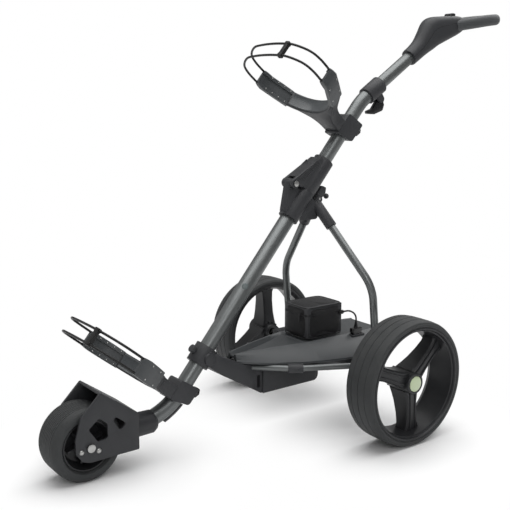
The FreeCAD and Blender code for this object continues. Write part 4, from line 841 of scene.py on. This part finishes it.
class TROLLEY_OT_front_wheel(bpy.types.Operator):
    """Build the front tyre and rim"""

    bl_idname = "trolley.front_wheel"
    bl_label = "Front Wheel"

    def execute(self, context):
        sizes = context.scene.trolley_wheels
        low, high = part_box("front_tyre")
        half, radius = (high.x - low.x) / 2, (high.z - low.z) / 2
        seat = radius - 0.024
        outward = Vector((1, 0, 0))
        tread = grooved_tread(half, radius, FRONT_SHOULDER, sizes.front_grooves, sizes.groove_depth)
        shoulder = [(half - 0.0090, radius - 0.0018), (half - 0.0050, radius - 0.0048),
                    (half - 0.0020, radius - 0.0095), (half - 0.0005, radius - 0.0150),
                    (half - 0.0015, seat + 0.0040), (half - 0.0060, seat + 0.0010), (half - 0.0090, seat)]
        mirrored = [(-along, size) for along, size in reversed(shoulder)]
        bm = bmesh.new()
        add_lathe(bm, mirrored + tread + shoulder, FRONT_AXLE, outward, 144)
        finish_piece(from_bmesh("front_tyre_skin", bm, 28),
                     "front_wheel", "tyre_foam", ("front_tyre",))
        self.build_rim(half, seat, outward)
        return {"FINISHED"}

    def build_rim(self, half, seat, outward):
        bm = bmesh.new()
        side = [(half - 0.0085, seat), (half - 0.0070, seat - 0.0010), (half - 0.0070, seat - 0.0035),
                (half - 0.0100, seat - 0.0045), (half - 0.0180, seat - 0.0060), (0.0080, seat - 0.0100),
                (0.0060, seat - 0.0120), (0.0060, 0.0170), (0.0090, 0.0150), (half - 0.0060, 0.0135),
                (half - 0.0050, 0.0125), (half - 0.0050, 0.0052)]
        other = [(-along, size) for along, size in reversed(side)]
        add_lathe(bm, side + other, FRONT_AXLE, outward, 96)
        for face in (-1, 1):
            for index in range(6):
                angle = math.radians(60 * index + 15)
                out = Vector((0, math.cos(angle), math.sin(angle)))
                turn = basis_of(outward, out, outward.cross(out))
                middle = FRONT_AXLE + outward * face * 0.0145 + out * 0.0270
                add_box(bm, (0.0180, 0.0260, 0.0040), Matrix.Translation(middle) @ turn, 0.0010)
        finish_piece(from_bmesh("front_rim_casting", bm, 30),
                     "front_wheel", "rim_moulding", ("front_rim",))


# ------------------------------------------------------------------ handle
# Console stations behind the neck: back, up, tilt in degrees, half height, half width, squareness.
CONSOLE_STATIONS = [
    (-6, -4, 33.5, 20.8, 20.8, 2.0), (-2, -1.3, 33.5, 21.4, 21.4, 2.0), (12, 8, 33.5, 21.8, 21.4, 2.0),
    (30, 22, 32, 24.0, 21.8, 2.1), (46, 38, 27, 30.0, 23.0, 2.3), (60, 53, 17, 36.5, 25.5, 2.7),
    (76, 62, 10, 36.0, 28.0, 3.1), (96, 67.5, 7, 33.0, 30.0, 3.2), (122, 74, 6.4, 29.0, 30.6, 3.2),
    (148, 80, 6.4, 24.5, 30.0, 3.0), (166, 84, 6.4, 19.5, 28.0, 2.6), (178, 86, 6.4, 12.0, 22.0, 2.2)]
GRIP_HALF_WIDTH, GRIP_HALF_HEIGHT = 13.4, 14.2
GRIP_ROUTE = [(20, 138, 78), (29, 166, 83), (36, 200, 88.5), (38.5, 235, 94), (34, 270, 98.5), (20, 294, 101),
              (0, 301, 102)]


class TROLLEY_OT_handle(bpy.types.Operator):
    """Build the console, the looped grip and the controls"""

    bl_idname = "trolley.handle"
    bl_label = "Handle"

    def execute(self, context):
        self.build_console()
        self.build_grip()
        self.build_dial()
        soften_node("power_button", "strap_rubber", 0.0006)
        soften_node("height_collar", "black_moulding", 0.0012)
        soften_node("clamp_lever", "gloss_black", 0.0016)
        return {"FINISHED"}

    def build_console(self):
        rings = []
        for back, up, tilt, half_height, half_width, power in CONSOLE_STATIONS:
            lean = math.radians(tilt)
            centre = NECK + Vector((0, back, up)) * MM
            upward = Vector((0, -math.sin(lean), math.cos(lean)))
            rings.append([centre + Vector((u, 0, 0)) * MM + upward * v * MM
                          for u, v in superellipse(half_width, half_height, power, 48)])
        fine = []
        for index in range(48):
            column = smooth_path([ring[index] for ring in rings], 4)
            fine.append(column)
        rings = [[column[row] for column in fine] for row in range(len(fine[0]))]
        bm = bmesh.new()
        add_loft(bm, rings)
        finish_piece(from_bmesh("console_shell", bm, 50),
                     "handle", "black_moulding", ("handle_top_shell", "handle_bottom_shell"))
        self.build_seam(rings)

    def build_seam(self, rings):
        """The parting line between the two shells, as a fine raised bead each side."""
        bm = bmesh.new()
        count = len(rings[0])
        for column in (1, count // 2 - 1):
            path = [ring[column] for ring in rings[2:-3]]
            add_round_bar(bm, path, 0.0003, 6)
        finish_piece(from_bmesh("console_seam", bm), "handle", "gloss_black")

    def build_grip(self):
        half = [Vector(point) * MM for point in GRIP_ROUTE]
        other = [Vector((-point.x, point.y, point.z)) for point in reversed(half[:-1])]
        path = smooth_path([NECK + point for point in half + other], 8)
        frames = path_frames(path)
        section = superellipse(GRIP_HALF_WIDTH, GRIP_HALF_HEIGHT, 2.2, 28)
        rings = []
        for point, (tangent, _, _) in zip(path, frames):
            side = tangent.cross(Vector((0, 0, 1))).normalized()
            upward = side.cross(tangent).normalized()
            rings.append([point + side * u * MM + upward * v * MM for u, v in section])
        bm = bmesh.new()
        add_loft(bm, rings)
        finish_piece(from_bmesh("grip_sleeve", bm, 60), "handle", "grip_foam", ("grip_loop",))

    def build_dial(self):
        joint = find_joint("speed_dial_turn")
        axis, foot = Vector(joint["axis"]).normalized(), Vector(joint["pos_m"])
        bm = bmesh.new()
        profile = [(0.0004, 0.0), (0.0004, 0.0128), (0.0012, 0.0134), (0.0062, 0.0128), (0.0078, 0.0112),
                   (0.0080, 0.0080), (0.0074, 0.0070), (0.0074, 0.0)]
        add_lathe(bm, profile, foot, axis, 48)
        across = axis.orthogonal().normalized()
        for index in range(24):
            turn = Matrix.Rotation(2 * math.pi * index / 24, 3, axis)
            out = turn @ across
            basis = basis_of(out, axis.cross(out), axis)
            middle = foot + axis * 0.0036 + out * 0.0132
            add_box(bm, (0.0010, 0.0012, 0.0046), Matrix.Translation(middle) @ basis, 0.0003)
        pointer = basis_of(across, axis.cross(across), axis)
        middle = foot + axis * 0.0078 + across * 0.0040
        add_box(bm, (0.0060, 0.0012, 0.0008), Matrix.Translation(middle) @ pointer, 0.0002)
        stem = [(-0.0075, 0.0), (-0.0075, 0.0046), (0.0006, 0.0046), (0.0006, 0.0)]
        add_lathe(bm, stem, foot, axis, 24)
        finish_piece(from_bmesh("speed_dial_cap", bm), "dial", "gloss_black", ("speed_dial",))


# ------------------------------------------------------------------ tray and battery
# Tray stations: distance behind the front axle line, lip half width and height, ridge half width
# and height, then valley half width and height.
TRAY_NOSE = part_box("tray_cover")[0].y
TRAY_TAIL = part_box("tray_cover")[1].y
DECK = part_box("tray_cover")[1].z
TRAY_STATIONS = [
    (0.00, 20, 22, 12, 7, 5, 13), (0.08, 40, 25, 19, 4, 10, 14), (0.20, 64, 29, 31, 1.5, 21, 13),
    (0.34, 88, 32, 45, 0.3, 36, 9), (0.42, 98, 33, 52, 0.0, 45, 4), (0.46, 102, 34, 54, 0.0, 48, 2.0),
    (0.70, 118, 38, 54, 0.0, 48, 2.0), (0.88, 120, 42, 54, 0.0, 48, 2.0), (1.00, 96, 44, 52, 2.0, 46, 4)]


class TROLLEY_OT_tray(bpy.types.Operator):
    """Build the tray cover with its ridges, valley and lip"""

    bl_idname = "trolley.tray"
    bl_label = "Tray"

    def execute(self, context):
        rings = [self.section(*station) for station in TRAY_STATIONS]
        fine = [smooth_path([ring[index] for ring in rings], 4) for index in range(len(rings[0]))]
        rings = [[column[row] for column in fine] for row in range(len(fine[0]))]
        bm = bmesh.new()
        add_loft(bm, rings, capped=False)
        bm.faces.new([bm.verts.new(point) for point in rings[0][::-1]])
        bm.faces.new([bm.verts.new(point) for point in rings[-1]])
        finish_piece(from_bmesh("tray_cover_shell", bm, 24),
                     "frame", "grey_shell", ("tray_cover",))
        self.build_rim_line()
        self.build_floor()
        for name in ("motor_trough", "front_bracket", "axle_housing", "power_socket"):
            soften_node(name, "black_moulding", 0.0012)
        soften_node("controller_board", "circuit_board", 0.0004)
        self.build_trough_ribs()
        return {"FINISHED"}

    def section(self, share, lip, lip_drop, ridge, ridge_drop, valley, valley_drop):
        """A closed section: outer skin from lip to lip, then back underneath."""
        y = TRAY_NOSE + share * (TRAY_TAIL - TRAY_NOSE)
        belly = ridge + 0.55 * (lip - ridge)
        top = [(lip - 1.5, lip_drop + 4.5), (lip, lip_drop + 3.0), (lip, lip_drop),
               (lip - 3.0, lip_drop - 3.0), (belly, ridge_drop + 0.40 * (lip_drop - ridge_drop)),
               (ridge + 2.0, ridge_drop + 1.2), (ridge, ridge_drop), (ridge - 2.0, ridge_drop + 0.8),
               (valley, valley_drop)]
        under = [(valley - 3.0, valley_drop + 4.0), (ridge - 6.0, ridge_drop + 9.0),
                 (lip - 6.0, lip_drop + 4.5)]
        outline = top + [(-x, drop) for x, drop in reversed(top)]
        outline += [(-x, drop) for x, drop in reversed(under)] + under
        return [Vector((x * MM, y, DECK - drop * MM)) for x, drop in outline]

    def build_floor(self):
        """The flat floor under the cover, following its lips."""
        low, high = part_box("tray_base")
        rows = []
        for share, lip, *_ in TRAY_STATIONS:
            y = min(max(TRAY_NOSE + share * (TRAY_TAIL - TRAY_NOSE), low.y), high.y)
            reach = min((lip - 12) * MM, high.x)
            corners = ((-reach, low.z), (reach, low.z), (reach, high.z), (-reach, high.z))
            rows.append([Vector((x, y, z)) for x, z in corners])
        rows = [row for row, after in zip(rows, rows[1:]) if after[0].y > row[0].y] + rows[-1:]
        bm = bmesh.new()
        add_loft(bm, rows)
        finish_piece(from_bmesh("tray_floor", bm),
                     "frame", "black_moulding", ("tray_base",))

    def build_rim_line(self):
        """A soft beading along the lower lip, each side."""
        bm = bmesh.new()
        for side in (-1, 1):
            path = []
            for share, lip, drop, *_ in TRAY_STATIONS:
                y = TRAY_NOSE + share * (TRAY_TAIL - TRAY_NOSE)
                path.append(Vector((side * (lip - 0.6) * MM, y, DECK - (drop + 3.4) * MM)))
            add_round_bar(bm, smooth_path(path, 6), 0.0016, 8)
        finish_piece(from_bmesh("tray_lip_bead", bm), "frame", "grey_shell")

    def build_trough_ribs(self):
        """Stiffening ribs across the front of the motor trough."""
        low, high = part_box("motor_trough")
        bm = bmesh.new()
        for index in range(7):
            matrix = Matrix.Translation((0, low.y + 0.010 + index * 0.0030, low.z + 0.0004))
            add_box(bm, (high.x - low.x - 0.010, 0.0012, 0.0010), matrix, 0.0003)
        finish_piece(from_bmesh("trough_ribs", bm), "frame", "black_moulding")


class TROLLEY_OT_battery_bag(bpy.types.Operator):
    """Build the padded battery bag, its piping, zip and label"""

    bl_idname = "trolley.battery_bag"
    bl_label = "Battery Bag"

    def execute(self, context):
        sizes = context.scene.trolley_bag
        low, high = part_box("battery_bag")
        shell = self.build_shell(low, high)
        self.puff(shell, sizes.puff)
        finish_piece(shell, "battery", "bag_nylon", ("battery_bag",))
        self.build_trim(low, high)
        self.build_label(low, high, sizes.label_radius)
        soften_node("battery_pack", "black_moulding", 0.0020)
        return {"FINISHED"}

    def ring(self, low, high, share, inset, power):
        middle = (low + high) / 2
        half_x, half_y = (high.x - low.x) / 2 - inset, (high.y - low.y) / 2 - inset
        z = low.z + share * (high.z - low.z)
        return [Vector((middle.x + u, middle.y + v, z)) for u, v in superellipse(half_x, half_y, power, 64)]

    def build_shell(self, low, high):
        """Stacked rounded sections, drawn in at the seams and crowned on top."""
        stations = [(0.004, 0.0090, 5.0), (0.010, 0.0050, 6.0), (0.05, 0.0030, 7.0), (0.20, 0.0022, 7.5),
                    (0.45, 0.0016, 7.5), (0.66, 0.0020, 7.5), (0.715, 0.0034, 7.0), (0.73, 0.0036, 7.0),
                    (0.75, 0.0022, 7.0), (0.86, 0.0024, 6.5), (0.925, 0.0048, 6.0), (0.962, 0.0100, 5.0),
                    (0.984, 0.0200, 4.0), (0.992, 0.0320, 3.2)]
        rings = [self.ring(low, high, *station) for station in stations]
        bm = bmesh.new()
        add_loft(bm, rings)
        bmesh.ops.poke(bm, faces=[face for face in bm.faces if len(face.verts) > 4])
        return from_bmesh("battery_bag_cloth", bm, 70)

    def puff(self, shell, cap):
        """Swell the walls with a short cloth run, then hold every point near its start."""
        context = bpy.context
        remesh = shell.modifiers.new("Voxels", "REMESH")
        remesh.mode = "VOXEL"
        remesh.voxel_size = 0.0045
        self.apply_all(shell)
        before = [vertex.co.copy() for vertex in shell.data.vertices]
        cloth = shell.modifiers.new("Cloth", "CLOTH")
        cloth.settings.use_pressure = True
        cloth.settings.uniform_pressure_force = 4
        cloth.settings.effector_weights.gravity = 0
        cloth.point_cache.frame_end = 20
        for step in range(1, 21):
            context.scene.frame_set(step)
        self.apply_all(shell)
        context.scene.frame_set(1)
        floor = min(point.z for point in before)
        low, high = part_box("battery_bag")
        for vertex, start in zip(shell.data.vertices, before):
            move = vertex.co - start
            if move.length > cap:
                move *= cap / move.length
            vertex.co = start + move
            vertex.co.x = min(max(vertex.co.x, low.x - cap * 0.5), high.x + cap * 0.5)
            vertex.co.y = min(max(vertex.co.y, low.y - cap * 0.5), high.y + cap * 0.1)
            vertex.co.z = max(vertex.co.z, floor)
        smooth = shell.modifiers.new("Subdivision", "SUBSURF")
        smooth.levels = smooth.render_levels = 1
        self.apply_all(shell)
        shell.data.shade_smooth()

    def apply_all(self, piece):
        depsgraph = bpy.context.evaluated_depsgraph_get()
        mesh = bpy.data.meshes.new_from_object(piece.evaluated_get(depsgraph))
        piece.modifiers.clear()
        old, piece.data = piece.data, mesh
        bpy.data.meshes.remove(old)

    def build_trim(self, low, high):
        """Piping round the lid and the foot, and the zip between lid and body."""
        bm = bmesh.new()
        for share, inset, size in ((0.945, 0.0030, 0.0013), (0.035, 0.0010, 0.0013)):
            add_round_bar(bm, self.ring(low, high, share, inset, 6.5), size, 8, closed=True)
        finish_piece(from_bmesh("bag_piping", bm), "battery", "piping")
        bm = bmesh.new()
        for share in (0.712, 0.738):
            add_round_bar(bm, self.ring(low, high, share, 0.0002, 7), 0.0008, 6, closed=True)
        slider = Vector(((low.x + high.x) / 2 + 0.020, low.y - 0.0008, low.z + 0.725 * (high.z - low.z)))
        puller = slider + Vector((0, -0.0012, -0.0090))
        add_box(bm, (0.0050, 0.0026, 0.0070), Matrix.Translation(slider), 0.0008)
        add_box(bm, (0.0034, 0.0014, 0.0150), Matrix.Translation(puller), 0.0006)
        finish_piece(from_bmesh("bag_zip", bm), "battery", "piping")

    def build_label(self, low, high, radius):
        """A plain round label on the lid."""
        centre = Vector(((low.x + high.x) / 2 - 0.002, (low.y + high.y) / 2 - 0.004, high.z - 0.0006))
        bm = bmesh.new()
        profile = [(-0.0020, 0.0), (-0.0020, radius - 0.0006), (-0.0002, radius), (0.0008, radius - 0.0006),
                   (0.0010, radius - 0.0030), (0.0007, radius - 0.0036), (0.0009, 0.0)]
        add_lathe(bm, profile, centre, Vector((0, 0, 1)), 64)
        finish_piece(from_bmesh("bag_label", bm), "battery", "pale_accent")


# ------------------------------------------------------------------ cradles
STRAP_ROUTE = [(0.115, -0.008), (0.1155, 0.030), (0.104, 0.058), (0.070, 0.080), (0.036, 0.0855), (0, 0.087)]
STRAP_FOOT = CRADLE_REACH - 0.006
LINER_RADIUS = 0.1117
ARM_ROOT_ANGLE = -47


class TROLLEY_OT_cradles(bpy.types.Operator):
    """Build both bag cradles, their straps and clips"""

    bl_idname = "trolley.cradles"
    bl_label = "Bag Cradles"

    def execute(self, context):
        for name, along, body in (("lower", LOWER_CRADLE_ALONG, "frame"),
                                  ("upper", UPPER_CRADLE_ALONG, "upper_frame")):
            self.build_straps(name, along, body)
            self.build_pad(name, along, body)
            self.build_arms(name, along, body)
            soften_node(name + "_cradle", "black_moulding", 0.0010)
            soften_node(name + "_cradle_clamp", "black_moulding", 0.0016)
            self.build_knob(name)
        return {"FINISHED"}

    def build_straps(self, name, along, body):
        bm = bmesh.new()
        half = 0.019 - 0.003
        for level in (along - half, along + half):
            right = [Vector((x, -STRAP_FOOT - beyond, level)) for x, beyond in STRAP_ROUTE]
            left = [Vector((-point.x, point.y, point.z)) for point in reversed(right[:-1])]
            path = [SPINE @ point for point in smooth_path(right + left, 10)]
            add_round_bar(bm, path, 0.0026, 12)
        finish_piece(from_bmesh(name + "_strap_loops", bm),
                     body, "strap_rubber", (name + "_cradle_strap",))
        bm = bmesh.new()
        middle = SPINE @ Matrix.Translation((0.054, -STRAP_FOOT - 0.0832, along)) @ Euler(
            (0, 0, math.radians(6))).to_matrix().to_4x4()
        add_box(bm, (0.0110, 0.0095, 0.0410), middle, 0.0022)
        for level in (-0.016, 0.016):
            add_box(bm, (0.0128, 0.0112, 0.0090), middle @ Matrix.Translation((0, 0, level)), 0.0026)
        finish_piece(from_bmesh(name + "_strap_clip", bm), body, "strap_rubber")

    def section_point(self, angle, radius, level):
        turn = math.radians(angle)
        return SPINE @ Vector((radius * math.cos(turn), -(CRADLE_REACH + radius * math.sin(turn)), level))

    def build_pad(self, name, along, body):
        """The satin liner inside the half ring, with turned-up edges."""
        half = 0.0165
        edge = [(LINER_RADIUS, half), (LINER_RADIUS - 0.0022, half - 0.0016),
                (LINER_RADIUS - 0.0009, half - 0.0045)]
        profile = [(radius, -level) for radius, level in edge] + edge[::-1]
        bm = bmesh.new()
        rings = []
        for step in range(41):
            angle = -131 + 82 * step / 40
            rings.append([self.section_point(angle, radius, along + level) for radius, level in profile])
        add_loft(bm, rings)
        finish_piece(from_bmesh(name + "_cradle_liner", bm), body, "pad_shell")

    def build_arms(self, name, along, body):
        """Two arms: a rounded beam with a sunk inner channel, and screws along both edges."""
        bm = bmesh.new()
        places = []
        for side in (-1, 1):
            places += self.add_arm(bm, side, along)
        finish_piece(from_bmesh(name + "_arm_mouldings", bm, 30),
                     body, "grey_shell", (name + "_cradle_arms",))
        add_screws(name + "_arm_screws", places, 0.0017, body, name + "_cradle_screws")

    def add_arm(self, bm, side, along):
        """One arm from the ring's end to its tip; returns the places of its screws."""
        root_in, root_out = self.flat(ARM_ROOT_ANGLE, 0.112), self.flat(ARM_ROOT_ANGLE, 0.1235)
        tip_y = 0.006 - CRADLE_REACH
        elbow = (self.mix(root_in, (0.107, tip_y + 0.022), 0.5),
                 self.mix(root_out, (0.122, tip_y + 0.018), 0.5))
        stations = [(root_in, root_out, 0.0200), (*elbow, 0.0206),
                    ((0.1068, tip_y + 0.024), (0.1216, tip_y + 0.018), 0.0206),
                    ((0.1084, tip_y + 0.008), (0.1216, tip_y + 0.008), 0.0198),
                    ((0.1100, tip_y), (0.1200, tip_y), 0.0185)]
        rings = []
        for inner, outer, half in stations:
            edge = 0.0016
            corners = [(0.0, -half + edge), (0.10, -half), (0.90, -half), (1.0, -half + edge),
                       (1.0, half - edge), (0.90, half), (0.10, half), (0.0, half - edge), (0.0, 0.55 * half),
                       (0.34, 0.50 * half), (0.34, -0.50 * half), (0.0, -0.55 * half)]
            ring = []
            for share, level in corners:
                x, y = self.mix(inner, outer, share)
                ring.append(SPINE @ Vector((side * x, y, along + level)))
            rings.append(ring if side > 0 else ring[::-1])
        add_loft(bm, rings)
        places = []
        for share in (0.10, 0.36, 0.62, 0.88):
            x, y = self.mix(root_in, (0.1075, tip_y + 0.016), share)
            point_out = Vector((-side, 0, 0))
            for level in (-0.0155, 0.0155):
                point = SPINE @ Vector((side * (x - 0.0002), y, along + level))
                places.append((point, (SPINE.to_3x3() @ point_out).normalized()))
        for share in (0.25, 0.8):
            x, y = self.mix(root_out, (0.122, tip_y + 0.018), share)
            for level in (-0.0150, 0.0150):
                point = SPINE @ Vector((side * (x + 0.0002), y, along + level))
                places.append((point, (SPINE.to_3x3() @ Vector((side, 0.25, 0))).normalized()))
        return places

    def flat(self, angle, radius):
        turn = math.radians(angle)
        return radius * math.cos(turn), -(CRADLE_REACH + radius * math.sin(turn))

    def mix(self, first, second, share):
        return tuple(a + (b - a) * share for a, b in zip(first, second))

    def build_knob(self, name):
        """A lobed hand knob behind the clamp."""
        low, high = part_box(name + "_cradle_knob")
        middle = (low + high) / 2
        axis = SPINE.to_3x3() @ Vector((0, 1, 0))
        across = Vector((1, 0, 0))
        other = axis.cross(across)
        body = "upper_knob" if name == "upper" else "lower_knob"
        rings = []
        for depth, size in ((-0.0105, 0.0040), (-0.0020, 0.0040), (-0.0018, 0.0095), (-0.0004, 0.0112),
                            (0.0060, 0.0116), (0.0090, 0.0108), (0.0100, 0.0085)):
            ring = []
            for step in range(60):
                turn = 2 * math.pi * step / 60
                lobe = 1 + (0.06 * math.cos(6 * turn) if size > 0.005 else 0)
                out = across * math.cos(turn) + other * math.sin(turn)
                ring.append(middle + axis * depth + out * size * lobe)
            rings.append(ring)
        bm = bmesh.new()
        add_loft(bm, rings)
        finish_piece(from_bmesh(name + "_knob_head", bm, 40),
                     body, "gloss_black", (name + "_cradle_knob",))


# ------------------------------------------------------------------ frame
BEND_RADIUS = 0.150
BEND_HALF_ANGLE = math.radians(25)


class TROLLEY_OT_frame(bpy.types.Operator):
    """Finish the tubes, the fork, the fold and the drive"""

    bl_idname = "trolley.frame"
    bl_label = "Frame"

    def execute(self, context):
        for name in ("lower_tube", "upper_tube", "handle_tube", "stay_tubes", "chassis_tubes"):
            soften_node(name, "tube_paint", 0.0004)
        for name, width in (("front_fork", 0.0012), ("fork_collar", 0.0010), ("bend_guard", 0.0012),
                            ("lower_knuckle", 0.0018), ("upper_knuckle", 0.0018), ("stay_yoke", 0.0014),
                            ("pivot_collar", 0.0014), ("chassis_clips", 0.0008), ("hinge_latch", 0.0012)):
            soften_node(name, "black_moulding", width)
        for name in ("front_axle", "drive_axle", "hinge_pins", "axle_bearings", "motor_pinion"):
            soften_node(name, "bright_steel", 0.0004)
        soften_node("axle_gear", "natural_nylon", 0.0002)
        soften_node("motor", "black_moulding", 0.0010)
        self.build_fork_screws()
        self.build_guard_ribs()
        self.build_knuckle_ribs()
        self.build_badge()
        return {"FINISHED"}

    def build_fork_screws(self):
        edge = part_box("fork_screws")[1].x - 0.0030
        places = []
        for side in (-1, 1):
            for y, z in ((-0.020, -0.005), (0.017, -0.010)):
                point = Vector((side * edge, FRONT_AXLE.y + y, FRONT_AXLE.z + z))
                places.append((point, Vector((side, 0, 0))))
        add_screws("fork_screw_heads", places, 0.0052, "frame", "fork_screws")

    def build_guard_ribs(self):
        """Close ribs across the bend guard."""
        middle = SPINE.to_translation() + Vector((0, -BEND_RADIUS * math.tan(BEND_HALF_ANGLE), BEND_RADIUS))
        bm = bmesh.new()
        for index in range(16):
            turn = math.radians(24.8 + 1.15 * index)
            out = Vector((0, math.sin(turn), -math.cos(turn)))
            basis = basis_of(Vector((1, 0, 0)), out.cross(Vector((1, 0, 0))), out)
            place_at = Matrix.Translation(middle + out * (BEND_RADIUS + 0.0232)) @ basis
            add_box(bm, (0.0146, 0.0016, 0.0016), place_at, 0.0005)
        finish_piece(from_bmesh("bend_guard_ribs", bm), "frame", "black_moulding")

    def build_knuckle_ribs(self):
        """Raised ribs along the outside of the upper knuckle's ears."""
        bm = bmesh.new()
        for side in (-1, 1):
            for index in range(4):
                start = Vector((side * 0.0196, -0.046 + index * 0.0045, 0.612 + index * 0.002))
                end = Vector((side * 0.0196, -0.030 + index * 0.0030, 0.676))
                add_round_bar(bm, [SPINE @ start, SPINE @ end], 0.0011, 8)
        finish_piece(from_bmesh("knuckle_ribs", bm), "upper_frame", "black_moulding")

    def build_badge(self):
        """A plain round trim button on the spine tube."""
        bm = bmesh.new()
        out = (SPINE.to_3x3() @ Vector((0.80, -0.60, 0))).normalized()
        foot = SPINE @ Vector((0, 0, 0.338))
        add_lathe(bm, [(0.0170, 0.0), (0.0170, 0.0072), (0.0186, 0.0070), (0.0192, 0.0050), (0.0193, 0.0)],
                  foot, out, 36)
        finish_piece(from_bmesh("tube_button", bm), "frame", "trim_button")


# ------------------------------------------------------------------ stage
LENS = 59.28
CAMERA_TURN = 53.634
CAMERA_TILT = 10.839
CAMERA_PLACE = Vector((1.5012, REAR_AXLE.y - 1.3257, 0.7675))


class TROLLEY_OT_stage(bpy.types.Operator):
    """Set up the camera, the floor and the studio light"""

    bl_idname = "trolley.stage"
    bl_label = "Stage"

    def execute(self, context):
        self.add_camera(context)
        self.add_floor()
        self.add_light("Overhead", (0.1, 0.1, 3.4), 4.2, 120)
        self.add_light("Key", (2.4, -1.4, 1.9), 1.4, 16)
        self.add_light("Fill", (-2.4, -1.6, 1.8), 2.6, 8)
        self.add_light("Back", (-0.6, 2.6, 2.2), 2.0, 22)
        self.add_world(context)
        context.scene.view_settings.view_transform = "Standard"
        return {"FINISHED"}

    def add_world(self, context):
        """White to the camera, and dimmer than that as a light."""
        world = bpy.data.worlds.new("Studio")
        context.scene.world = world
        world.use_nodes = True
        tree = world.node_tree
        background = tree.nodes["Background"]
        background.inputs["Color"].default_value = (1, 1, 1, 1)
        path = tree.nodes.new("ShaderNodeLightPath")
        strength = math_node(tree, "MULTIPLY_ADD", path.outputs["Is Camera Ray"], 0.72, offset=0.28)
        tree.links.new(strength, background.inputs["Strength"])

    def add_camera(self, context):
        camera = bpy.data.cameras.new("Camera")
        camera.lens = LENS
        camera.sensor_width = 36
        body = place("Camera", camera)
        body.location = CAMERA_PLACE
        body.rotation_euler = Euler((math.radians(90 - CAMERA_TILT), 0, math.radians(CAMERA_TURN)))
        context.scene.camera = body

    def add_floor(self):
        bm = bmesh.new()
        bmesh.ops.create_grid(bm, x_segments=1, y_segments=1, size=9)
        mesh = bpy.data.meshes.new("floor")
        bm.to_mesh(mesh)
        bm.free()
        floor = place("floor", mesh)
        mesh.materials.append(self.floor_material())

    def floor_material(self):
        """White to the camera, and a plain matt floor close to each wheel so that shadows show."""
        material = bpy.data.materials.new("Pale floor")
        material.use_nodes = True
        tree = material.node_tree
        shader = tree.nodes["Principled BSDF"]
        shader.inputs["Base Color"].default_value = (0.93, 0.93, 0.93, 1)
        shader.inputs["Roughness"].default_value = 0.9
        here = tree.nodes.new("ShaderNodeTexCoord").outputs["Object"]
        near = None
        for node in ("front_tyre", "rear_tyre_left", "rear_tyre_right"):
            spot = node_centre(node)
            gap = tree.nodes.new("ShaderNodeVectorMath")
            gap.operation = "DISTANCE"
            tree.links.new(here, gap.inputs[0])
            gap.inputs[1].default_value = (spot.x, spot.y, 0)
            fade = tree.nodes.new("ShaderNodeMapRange")
            fade.interpolation_type = "SMOOTHSTEP"
            for label, value in (("From Min", 0.10), ("From Max", 0.36), ("To Min", 1.0), ("To Max", 0.0)):
                fade.inputs[label].default_value = value
            tree.links.new(gap.outputs["Value"], fade.inputs["Value"])
            near = math_node(tree, "MAXIMUM", fade.outputs[0], near) if near else fade.outputs[0]
        camera = tree.nodes.new("ShaderNodeLightPath").outputs["Is Camera Ray"]
        share = math_node(tree, "MULTIPLY", math_node(tree, "SUBTRACT", 1.0, near), camera)
        glow = tree.nodes.new("ShaderNodeEmission")
        blend = tree.nodes.new("ShaderNodeMixShader")
        tree.links.new(share, blend.inputs[0])
        tree.links.new(shader.outputs[0], blend.inputs[1])
        tree.links.new(glow.outputs[0], blend.inputs[2])
        tree.links.new(blend.outputs[0], tree.nodes["Material Output"].inputs["Surface"])
        return material

    def add_light(self, name, spot, size, power):
        lamp = bpy.data.lights.new(name, "AREA")
        lamp.shape = "DISK"
        lamp.size = size
        lamp.energy = power
        holder = place(name, lamp)
        holder.location = spot
        aim = Vector((0, 0, 0.4)) - Vector(spot)
        holder.rotation_euler = aim.to_track_quat("-Z", "Y").to_euler()


# ------------------------------------------------------------------ panel and running
STEPS = (TROLLEY_OT_stage, TROLLEY_OT_lead, TROLLEY_OT_frame, TROLLEY_OT_rear_wheels, TROLLEY_OT_front_wheel,
         TROLLEY_OT_cradles, TROLLEY_OT_tray, TROLLEY_OT_battery_bag, TROLLEY_OT_handle)


class TROLLEY_PT_panel(bpy.types.Panel):
    """Buttons and settings for the trolley's pieces"""

    bl_idname = "TROLLEY_PT_panel"
    bl_label = "Golf Trolley"
    bl_space_type = "VIEW_3D"
    bl_region_type = "UI"
    bl_category = "Trolley"

    def draw(self, context):
        layout = self.layout
        for step in STEPS:
            layout.operator(step.bl_idname)
        scene = context.scene
        for settings in (scene.trolley_finish, scene.trolley_wheels, scene.trolley_bag):
            box = layout.box()
            for name in settings.bl_rna.properties.keys():
                if name not in {"rna_type", "name"}:
                    box.prop(settings, name)


CLASSES = (FinishSettings, WheelSettings, BagSettings, *STEPS, TROLLEY_PT_panel)


def register():
    for item in CLASSES:
        bpy.utils.register_class(item)
    bpy.types.Scene.trolley_finish = bpy.props.PointerProperty(type=FinishSettings)
    bpy.types.Scene.trolley_wheels = bpy.props.PointerProperty(type=WheelSettings)
    bpy.types.Scene.trolley_bag = bpy.props.PointerProperty(type=BagSettings)


def unregister():
    del bpy.types.Scene.trolley_bag
    del bpy.types.Scene.trolley_wheels
    del bpy.types.Scene.trolley_finish
    for item in reversed(CLASSES):
        bpy.utils.unregister_class(item)


def main():
    register()
    bpy.ops.trolley.stage()
    bpy.ops.trolley.lead()
    bpy.ops.trolley.frame()
    bpy.ops.trolley.rear_wheels()
    bpy.ops.trolley.front_wheel()
    bpy.ops.trolley.cradles()
    bpy.ops.trolley.tray()
    bpy.ops.trolley.battery_bag()
    bpy.ops.trolley.handle()


if __name__ == "__main__":
    main()
